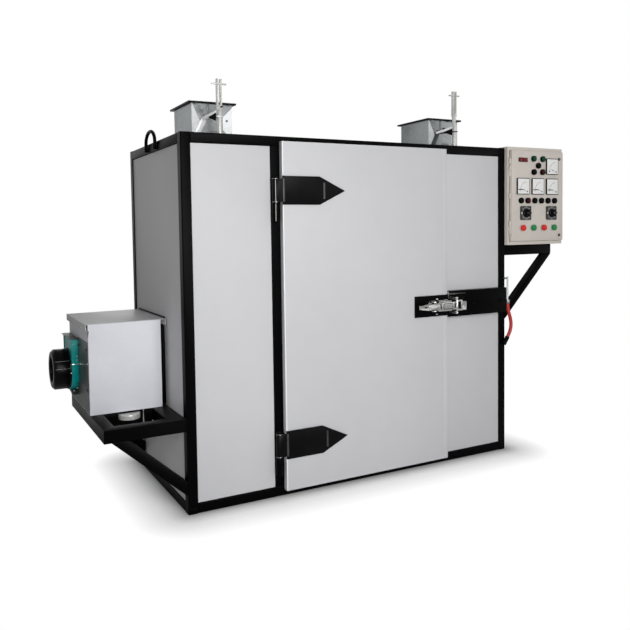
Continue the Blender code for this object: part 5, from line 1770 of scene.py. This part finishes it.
    def lamps(self) -> None:
        """Makes the bezels and lenses of the eleven pilot lamps."""
        group = [
            (1.1863, 1.739, Lens.GREEN), (1.2613, 1.739, Lens.GREEN), (1.2243, 1.699, Lens.CLEAR),
            (1.1883, 1.66, Lens.CLEAR), (1.2593, 1.661, Lens.RED),
        ]
        row_x, row_z = self.lamp_row
        colours = (Lens.CLEAR, Lens.RED, Lens.CLEAR, Lens.CLEAR, Lens.CLEAR, Lens.CLEAR)
        group += [(row_x + spot * self.lamp_pitch, row_z, colour) for spot, colour in enumerate(colours)]
        x0, z0, _ = group[0]
        front = self.face - 0.0128
        bezel = Bench("lamp_bezel_1").rod((x0, self.face + 0.0004, z0), (x0, front, z0), 0.0174, 32)
        bezel.side(Way.FRONT).inset(0.0022, -0.0015)
        first = bezel.done(LAMP_BLACK, "panel_door", edge=0.0007)
        row(first, "lamp_bezel", [(x - x0, 0.0, z - z0) for x, z, _ in group[1:]])
        for number, (x, z, colour) in enumerate(group, 1):
            lens = Bench(f"lamp_lens_{number}")
            lens.rod((x, front + 0.004, z), (x, front - 0.0006, z), 0.0138, 32)
            lens.side(Way.FRONT).inset(0.003, 0.0005).inset(0.0035, 0.0002)
            lens.done(colour.value, "panel_door", edge=0.0008)

    def switch_plates(self) -> None:
        """Makes the graduated plates behind the two switches."""
        x, z = self.switches[0]
        front = self.face - 0.009
        plate = Bench("switch_plate_1").tile((x, z), (0.0415, 0.0415), front, self.face + 0.0004)
        plate.edges(Axis.Y).bevel(0.004, 3)
        plate.side(Way.FRONT).inset(0.003, -0.0005)
        first = plate.done(SWITCH_PLATE, "panel_door", edge=0.0005)
        marks = Bench("switch_marks_1")
        for step in range(24):
            out = upright(15 * step)
            start = Vector((x, front + 0.0002, z)) + out * 0.0285
            long, thick = (0.009, 0.0007) if step % 3 else (0.0125, 0.0013)
            marks.rod(start, start + out * long, thick, 6)
        marks.block((x - 0.0405, front - 0.0004, z - 0.0045), (x - 0.029, front + 0.0004, z + 0.0045))
        scale = marks.done(WHITE_PRINT, "panel_door", merge=False)
        step = (self.switches[1][0] - x, 0.0, 0.0)
        repeat(first, "switch_plate_2", step)
        repeat(scale, "switch_marks_2", step)

    def knob_pointers(self) -> None:
        """Makes the raised bar and the white line on each switch's knob."""
        x, z = self.switches[0]
        bar = Bench("knob_bar_1").tile((x, z), (0.0165, 0.0062), -0.5279, -0.52)
        bar.side(Way.FRONT).scale((0.94, 1.0, 0.66), (x, -0.5279, z))
        first = bar.done(BLACK_MOULDING, "knob_1", edge=0.0009)
        line = Bench("knob_line_1")
        line.block((x - 0.015, -0.52815, z - 0.0008), (x - 0.005, -0.5276, z + 0.0008))
        line.side(Way.FRONT).inset(0.0002)
        mark = line.done(WHITE_PRINT, "knob_1")
        step = (self.switches[1][0] - x, 0.0, 0.0)
        repeat(first, "knob_bar_2", step, "knob_2")
        repeat(mark, "knob_line_2", step, "knob_2")

    def button_caps(self) -> None:
        """Makes the wide coloured cap of each push button, which moves with it."""
        x, z = self.first_button
        cap = Bench("button_cap_1").rod((x, -0.5012, z), (x, -0.5086, z), 0.0184, 40)
        cap.side(Way.FRONT).inset(0.0035, 0.0012).inset(0.005, 0.0004)
        first = cap.done(RED_BUTTON, "button_1", edge=0.0008)
        for number, finish in ((2, GREEN_BUTTON), (3, RED_BUTTON), (4, GREEN_BUTTON)):
            step = ((number - 1) * self.button_pitch, 0.0, 0.0)
            copy = repeat(first, f"button_cap_{number}", step, f"button_{number}")
            copy.data.materials[0] = finish.material()

    def button_bezels(self) -> None:
        """Makes the pale bezel ring around each push button."""
        x, z = self.first_button
        front = self.face - 0.0066
        bezel = Bench("button_bezel_1").rod((x, self.face + 0.0004, z), (x, front, z), 0.0206, 40)
        bezel.side(Way.FRONT).inset(0.0042).delete()
        bezel.side(Way.BACK).delete()
        first = bezel.done(PALE_BEZEL, "panel_door", merge=False)
        row(first, "button_bezel", [(step * self.button_pitch, 0.0, 0.0) for step in (1, 2, 3)])

    def locks(self) -> None:
        """Makes the two quarter-turn locks at the door's free edge."""
        x, face = self.lock_column, self.face
        for number, (z, finish) in enumerate(((1.743, BLACK_MOULDING), (1.281, RED_LENS)), 1):
            lock = Bench(f"panel_lock_{number}")
            lock.rod((x, face + 0.0003, z), (x, face - 0.0045, z), 0.0085, 28)
            lock.side(Way.FRONT).inset(0.0022, -0.0014)
            lock.done(finish, "panel_door", edge=0.0005)
            slot = Bench(f"panel_lock_slot_{number}")
            slot.tile((x, z), (0.0045, 0.001), face - 0.0042, face - 0.0028)
            slot.done(BRIGHT_STEEL, "panel_door", edge=0.0002)

    def knuckles(self) -> None:
        """Makes the three small hinge knuckles at the door's left edge."""
        (x, y), (z, *others) = self.hinge, self.knuckle_heights
        knuckle = Bench("panel_knuckle_1").rod((x, y, z - 0.016), (x, y, z + 0.016), 0.0048, 24)
        knuckle.ends(Axis.Z).inset(0.0014, 0.001, each=True)
        first = knuckle.done(BEIGE_HAMMERED, "panel_door", edge=0.0004)
        row(first, "panel_knuckle", [(0.0, 0.0, other - z) for other in others])


@dataclass
class Burner:
    """The burner's casing, its air inlet, the dark plate that paints its reflection on the box, and the
    sheet box over it.

    Attributes:
        wall: the left face of the sheet box.
        casing: the left face of the burner's casing.
        mouth: the left end of its air inlet.
        middle: the inlet's middle, in depth and up.
        inlet_radius: the inlet's outer radius.
        vane_radius: the radius inside the inlet that the vanes fill.
        lid_left: the left face of the lid's folded edge.
        flange_face: the left face of the black flange strip on the cabinet's wall, which paints the shade
            in the gap beside the box.
        shelf_front: how far forward the shelf's window is.
    """

    wall: float = -1.3853
    casing: float = -1.4213
    mouth: float = -1.5066
    middle: Pair = (0.2, 0.635)
    inlet_radius: float = 0.104
    vane_radius: float = 0.0665
    lid_left: float = -1.3972
    flange_face: float = -1.0025
    shelf_front: float = -0.1608

    def build(self) -> None:
        """Makes the pieces of the burner, from the wall outwards, and those of its box."""
        self.painted_reflection_plate()
        self.casing_flange()
        self.casing_rivets()
        self.seams()
        self.casing_foot()
        self.inlet_trim()
        self.inlet_vanes()
        self.box_trim()
        self.wall_flange()
        self.shelf_fittings()

    def painted_reflection_plate(self) -> None:
        """Makes the dark grey plate behind the casing with its bolts, which paints the casing's reflection
        on the box's side, and the panel below it, which paints the shade there.
        """
        face = self.wall - 0.0032
        plate = Bench("burner_plate").block((face, -0.156, 0.572), (self.wall + 0.0002, 0.0895, 0.812))
        plate.edges(Axis.X, lambda m: m.y < -0.1).bevel(0.006, 3)
        plate.done(REFLECTION_SHADE_GREY, "oven", edge=0.0006)
        lower = Bench("burner_lower_panel")
        lower.block((self.wall - 0.0012, -0.1565, 0.4645), (self.wall + 0.0002, 0.335, 0.571))
        lower.side(Way.LEFT).inset(0.004, -0.0004)
        lower.done(REFLECTION_SHADE_GREY, "oven", edge=0.0003)
        bolt = Bench("burner_plate_bolt_1").hexagon((face, -0.13, 0.58), Axis.X, 0.013, -0.0055)
        first = bolt.done(REFLECTION_SHADE_GREY, "oven", edge=0.0005)
        row(first, "burner_plate_bolt", ((0.0, 0.0, 0.195), (0.0, 0.19, 0.0), (0.0, 0.19, 0.195)))

    def casing_flange(self) -> None:
        """Makes the flange on top of the casing and the lip behind it."""
        x, (y, z) = self.casing, self.middle
        high = z + 0.167
        flange = Bench("casing_flange")
        flange.block((x - 0.0018, y - 0.113, high - 0.004), (x + 0.034, y + 0.116, high + 0.0035))
        edge = flange.side(Way.LEFT).inset(0.001).extrude((-0.009, 0.0, 0.0))
        edge.scale((1.0, 1.0, 0.4), (0.0, y, high + 0.0018))
        flange.done(DARK_CASTING, "oven", edge=0.0006)
        lip = Bench("casing_lip").block((x - 0.0022, y + 0.096, z + 0.04), (x + 0.0006, y + 0.112, high))
        lip.side(Way.DOWN).scale((1.0, 0.4, 1.0), (x, y + 0.1, z))
        lip.done(DARK_CASTING, "oven", edge=0.0005)

    def casing_rivets(self) -> None:
        """Makes the five rivets on the casing's front."""
        y, z = self.middle
        x, y, z = self.casing + 0.026, y - 0.11, z + 0.077
        rivet = Bench("casing_rivet_1").rod((x, y, z), (x, y - 0.0034, z), 0.0042, 20)
        rivet.side(Way.FRONT).scale((0.55, 1.0, 0.55), (x, y, z))
        first = rivet.done(PALE_BEZEL, "oven", edge=0.0006)
        spots = ((0.0, -0.02), (0.0, -0.163), (-0.018, 0.063), (-0.018, -0.175))
        row(first, "casing_rivet", [(dx, 0.0, dz) for dx, dz in spots])

    def seams(self) -> None:
        """Makes the bright seam across the casing's front, and the slanting bright strip on the plate,
        which paints that seam's reflection.
        """
        y, z = self.middle
        low = z + 0.0345
        seam = Bench("casing_seam")
        seam.block((self.casing - 0.0004, y - 0.1118, low), (self.wall - 0.0002, y - 0.1096, z + 0.038))
        seam.done(BRIGHT_STEEL, "oven", edge=0.0004)
        line = Bench("plate_seam_reflection")
        line.block((self.wall - 0.0044, -0.1555, low), (self.wall - 0.003, 0.089, z + 0.0378))
        line.side(Way.FRONT).move((0.0, 0.0, 0.039))
        line.done(BRIGHT_STEEL, "oven", edge=0.0003)

    def casing_foot(self) -> None:
        """Makes the foot below the casing and the collar round its inlet."""
        x, (y, z) = self.casing, self.middle
        low = z - 0.112
        foot = Bench("casing_foot")
        foot.block((x + 0.002, y - 0.062, low - 0.022), (self.wall - 0.001, y + 0.02, low + 0.004))
        foot.side(Way.DOWN).scale((0.7, 0.62, 1.0), (self.wall, y - 0.02, low))
        foot.done(DARK_CASTING, "oven", edge=0.0012)
        collar = Bench("casing_collar")
        collar.rod((x - 0.0006, y, z), (x - 0.0075, y, z), self.inlet_radius + 0.0045, 64)
        collar.side(Way.LEFT).inset(0.004, -0.0008)
        collar.done(BLACK_MOULDING, "oven", edge=0.0008)

    def inlet_trim(self) -> None:
        """Makes the inlet's two thin ribs, lighter than the black inlet as painted highlights along its
        curve, and the screw of its collar.
        """
        y, z = self.middle
        radius = self.inlet_radius - 0.0004
        ribs = ((189, 0.004, 0.0013, DULL_ZINC_SHADE_AND_HIGHLIGHT), (211, 0.01, 0.0019, GREY_HIGHLIGHT))
        for number, (angle, start, thick, finish) in enumerate(ribs, 1):
            rib_y = y + math.cos(math.radians(angle)) * radius
            rib_z = z - math.sin(math.radians(angle)) * radius
            rib = Bench(f"inlet_highlight_rib_{number}")
            rib.rod((self.casing - start, rib_y, rib_z), (self.casing - 0.078, rib_y, rib_z), thick, 10)
            rib.ends(Axis.X).inset(0.0004, 0.0008, each=True)
            rib.done(finish, "oven")
        x, z = self.casing - 0.004, z - 0.006
        screw = Bench("collar_screw").rod((x, y - 0.107, z), (x, y - 0.1115, z), 0.0036, 16)
        screw.side(Way.FRONT).inset(0.0012, -0.0005)
        screw.done(PALE_BEZEL, "oven", edge=0.0004)

    def inlet_vanes(self) -> None:
        """Makes the five level vanes in the inlet's mouth."""
        y, z = self.middle
        near, far = self.mouth + 0.012, self.mouth + 0.0285
        for number, rise in enumerate((-0.045, -0.0225, 0.0, 0.0225, 0.045), 1):
            half = math.sqrt(self.vane_radius ** 2 - rise ** 2)
            vane = Bench(f"inlet_vane_{number}")
            vane.block((near, y - half, z + rise - 0.0012), (far, y + half, z + rise + 0.0012))
            vane.side(Way.LEFT).move((0.0, 0.0, -0.004))
            vane.done(BLACK_MOULDING, "oven", edge=0.0004)

    def box_trim(self) -> None:
        """Makes the slit at the box's front edge, a near-black block that paints its shade, and the screws
        in its lid.
        """
        corner = (-1.3856, -0.1606, 0.838)
        slit = Bench("box_slit").block(corner, (-1.3815, -0.157, 0.8695))
        slit.side(Way.DOWN).scale((0.4, 0.6, 1.0), corner)
        slit.done(PAINTED_SHADE_BLACK, "oven")
        x, y, z = self.lid_left, -0.1, 0.884
        screw = Bench("lid_screw_1").rod((x, y, z), (x - 0.002, y, z), 0.0042, 20)
        screw.side(Way.LEFT).inset(0.0015, -0.0006)
        first = screw.done(BRIGHT_STEEL, "oven", edge=0.0004)
        row(first, "lid_screw", ((0.0, 0.19, 0.0), (0.0, 0.39, 0.0)))

    def wall_flange(self) -> None:
        """Makes the black flange strip on the cabinet's wall around the box's front and top, which paints
        the shade in the gap between box and wall.
        """
        spans = {"front": ((-0.12, 0.462), (-0.055, 0.896)), "top": ((-0.135, 0.8965), (0.345, 0.91))}
        for place, (low, high) in spans.items():
            flange = Bench(f"box_wall_flange_{place}")
            flange.block((self.flange_face, *low), (self.flange_face + 0.0105, *high))
            flange.side(Way.LEFT).inset(0.004, -0.0006)
            flange.done(BLACK_ENAMEL, "oven", edge=0.0006)

    def shelf_fittings(self) -> None:
        """Makes the lip, a pale half disc and the thin pipe at the shelf's front window."""
        front = self.shelf_front
        lip = Bench("shelf_window_lip").block((-1.322, front, 0.368), (-1.083, front + 0.003, 0.402))
        lip.side(Way.FRONT).inset(0.003, -0.0004)
        lip.done(BLACK_ENAMEL, "oven", edge=0.0005)
        x, y = -1.199, front - 0.0052
        # A pale half disc that fills the pale round patch seen in the window.
        cover = Bench("shelf_pale_half_disc").rod((x, y, 0.428), (x, y, 0.452), 0.053, 48)
        cover.side(Way.DOWN).inset(0.008, -0.004)
        cover.cut((x, front + 0.0003, 0.44), (0.0, 1.0, 0.0))
        cover.done(PALE_BEZEL, "oven", edge=0.0012)
        x, y = -1.127, front - 0.0044
        pipe = Bench("shelf_pipe").rod((x, y, 0.385), (x, y, 0.4595), 0.0042, 20)
        pipe.ends(Axis.Z).inset(0.001, 0.0008, each=True)
        pipe.done(BRIGHT_STEEL, "oven")


@dataclass
class RoofGear:
    """The two roof ducts with the painted light of their folds and flanges, the guides of the damper rods
    and the rods' bolts.

    Attributes:
        ducts: the left and right face of each duct.
        front: how far forward the ducts reach.
        rear: how far back they reach.
        low: where the folds of their sheet start.
        high: where their sheet ends.
        gasket_span: the heights of the lower and upper face of the black band under the flanges, which
            paints their shade.
        rods: each rod's body, its middle across, and the height of its bolt.
        rod_depth: how far back the rods' middles are.
    """

    ducts: Sequence[Pair] = ((-0.8545, -0.6345), (0.6345, 0.8545))
    front: float = -0.2
    rear: float = 0.07
    low: float = 1.797
    high: float = 1.9885
    gasket_span: Pair = (1.9806, 1.9868)
    rods: Sequence[tuple[str, float, float]] = (("rod_left", -0.7445, 1.95), ("rod_right", 0.7445, 1.961))
    rod_depth: float = -0.3

    def build(self) -> None:
        """Makes the painted light of both ducts' folds and flanges, their flange bolts, and the rods'
        small parts.
        """
        for number, (left, right) in enumerate(self.ducts, 1):
            self.painted_fold_light(number, left, right)
            self.gasket(number, left, right)
            self.flange_bolts(number, left, right)
            self.guide_bolts(number, left)
            self.guide_lip(number, left)
        for body, x, z in self.rods:
            self.rod_bolt(body, x, z)

    def painted_fold_light(self, number: int, left: float, right: float) -> None:
        """Makes the painted light of the folds on one duct's front: two bright wedges as painted
        highlights, and a darker band low down and a strip above them as painted shade.

        Args:
            number: the duct's number.
            left: the duct's left face.
            right: its right face.
        """
        face, low = self.front - 0.0003, self.low
        wedge = Bench(f"duct_fold_highlight_left_{number}")
        wedge.block((left + 0.001, face - 0.0032, low), (left + 0.046, face, self.high - 0.004))
        wedge.side(Way.RIGHT).scale((1.0, 0.05, 0.3), (left + 0.046, face, low + 0.055))
        wedge.done(ZINC_HIGHLIGHT, "oven")
        facet = Bench(f"duct_fold_highlight_right_{number}")
        facet.block((right - 0.052, face - 0.0032, low), (right - 0.002, face, self.high - 0.02))
        facet.side(Way.LEFT).scale((1.0, 0.05, 0.36), (right - 0.052, face, low + 0.09))
        facet.done(ZINC_HIGHLIGHT, "oven")
        fold = Bench(f"duct_fold_shade_low_{number}")
        fold.block((left + 0.075, face - 0.0016, low), (right - 0.03, face, low + 0.05))
        fold.side(Way.UP).scale((0.4, 0.1, 1.0), ((left + right) / 2 + 0.01, face, low + 0.05))
        fold.done(DULL_ZINC_SHADE_AND_HIGHLIGHT, "oven")
        strip = Bench(f"duct_shade_strip_{number}")
        strip.block((left + 0.083, face - 0.0026, 1.925), (left + 0.097, face, self.high - 0.001))
        strip.side(Way.DOWN).scale((0.5, 0.4, 1.0), (left + 0.09, face, 1.925))
        strip.done(DULL_ZINC_SHADE_AND_HIGHLIGHT, "oven", edge=0.0005)

    def gasket(self, number: int, left: float, right: float) -> None:
        """Makes the black band under one duct's flange, which paints the shade of the flange's underside.

        Args:
            number: the duct's number.
            left: the duct's left face.
            right: its right face.
        """
        low, high = self.gasket_span
        front, rear, over, gap = self.front, self.rear, 0.0172, 0.0006
        gasket = Bench(f"duct_flange_shade_{number}")
        gasket.block((left - over, front - over, low), (right + over, front - gap, high))
        gasket.block((left - over, rear + gap, low), (right + over, rear + over, high))
        gasket.block((left - over, front - gap, low), (left - gap, rear + gap, high))
        gasket.block((right + gap, front - gap, low), (right + over, rear + gap, high))
        gasket.done(BLACK_ENAMEL, "oven", merge=False)

    def flange_bolts(self, number: int, left: float, right: float) -> None:
        """Makes the six bolts under one duct's flange.

        Args:
            number: the duct's number.
            left: the duct's left face.
            right: its right face.
        """
        columns = (left + 0.02, (left + right) / 2 + 0.045, right - 0.02)
        spots = [(x, y) for y in (self.front - 0.0095, self.rear + 0.0095) for x in columns]
        x, y = spots[0]
        bolt = Bench(f"flange_bolt_{number}_1")
        bolt.hexagon((x, y, self.gasket_span[0]), Axis.Z, 0.011, -0.005)
        first = bolt.done(DULL_ZINC_SHADE_AND_HIGHLIGHT, "oven", edge=0.0004)
        row(first, f"flange_bolt_{number}", [(at_x - x, at_y - y, 0.0) for at_x, at_y in spots[1:]])

    def guide_bolts(self, number: int, left: float) -> None:
        """Makes the bolts on one duct's front, two of which hold the rod's guide.

        Args:
            number: the duct's number.
            left: the duct's left face.
        """
        spots = ((0.074, 1.917, DARK_ZINC_AND_SHADE), (0.118, 1.934, DARK_ZINC_AND_SHADE), (0.19, 1.9, DULL_ZINC_SHADE_AND_HIGHLIGHT))
        for spot, (dx, z, finish) in enumerate(spots, 1):
            bolt = Bench(f"guide_bolt_{number}_{spot}")
            bolt.hexagon((left + dx, self.front - 0.0003, z), Axis.Y, 0.011, -0.0062)
            bolt.done(finish, "oven", edge=0.0004)

    def guide_lip(self, number: int, left: float) -> None:
        """Makes the slanting lip of one rod's guide, bright as a painted highlight, and its web,
        near-black as painted shade.

        Args:
            number: the duct's number.
            left: the duct's left face.
        """
        start, end = left + 0.053, self.front - 0.105
        lip = Bench(f"guide_lip_{number}")
        lip.block((start, end, 1.899), (start + 0.002, self.front - 0.0055, 1.912))
        lip.side(Way.FRONT).move((0.0372, 0.0, 0.019))
        lip.done(PAINTED_HIGHLIGHT_EDGE, "oven", edge=0.0003)
        web = Bench(f"guide_web_{number}")
        web.block((start + 0.0178, end, 1.902), (start + 0.0198, end + 0.05, 1.906))
        web.side(Way.FRONT).move((0.0187, 0.0, 0.0)).scale((1.0, 1.0, 10.0), (0.0, end, 1.9044))
        web.done(PAINTED_SHADE_BLACK, "oven", edge=0.0003)

    def rod_bolt(self, body: str, x: float, z: float) -> None:
        """Makes a damper rod's bolt, which stays above its guide at the rod's lowest place.

        Args:
            body: the rod's body.
            x: the rod's middle.
            z: the bolt's height.
        """
        y = self.rod_depth
        bolt = Bench(f"{body}_bolt")
        bolt.rod((x + 0.006, y - 0.0095, z), (x + 0.0105, y - 0.0175, z), 0.0046, 20)
        bolt.faces(lambda m, n: n.y < -0.5).inset(0.0015, -0.0008)
        bolt.done(DARK_ZINC_AND_SHADE, body, edge=0.0005)


@dataclass
class Solids:
    """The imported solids, with the finish and the rounded edges that each one gets.

    Attributes:
        edge: the width of the rounded edges.
        weld: how close doubles are to be merged.
    """

    edge: float = 0.0012
    weld: float = 0.00002

    def build(self) -> None:
        """Dresses every solid."""
        for name, node in frame["nodes"].items():
            slot = Slot(node.material_slots[0].material.name.split(".")[0])
            node.material_slots[0].material = NODE_FINISHES.get(name, FINISHES[slot]).material()
            self.smooth(node)
            log.info("%s: dressed as %s", name, slot.value)

    def smooth(self, node: Piece) -> None:
        """Merges a solid's doubles, joins its flat triangles and rounds its sharp edges.

        Args:
            node: the solid.
        """
        weld = node.modifiers.new("weld", "WELD")
        weld.merge_threshold = self.weld
        flat = node.modifiers.new("flat", "DECIMATE")
        flat.decimate_type = "DISSOLVE"
        flat.angle_limit = math.radians(1)
        rounding = node.modifiers.new("rounding", "BEVEL")
        set_rounding(rounding, self.edge)
        rounding.harden_normals = True
        for face in node.data.polygons:
            face.use_smooth = True


def main() -> None:
    """Builds the studio and the hose, dresses the solids and adds each sub-assembly's pieces."""
    logging.basicConfig(level=logging.INFO, format="%(name)s %(message)s", stream=sys.stdout)
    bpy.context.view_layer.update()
    Studio().build()
    HoseRun().build()
    for assembly in (Solids(), Cabinet(), Door(), Latch(), ControlBox(), Burner(), RoofGear()):
        log.info("%s", type(assembly).__name__)
        assembly.build()


if __name__ == "__main__":
    main()
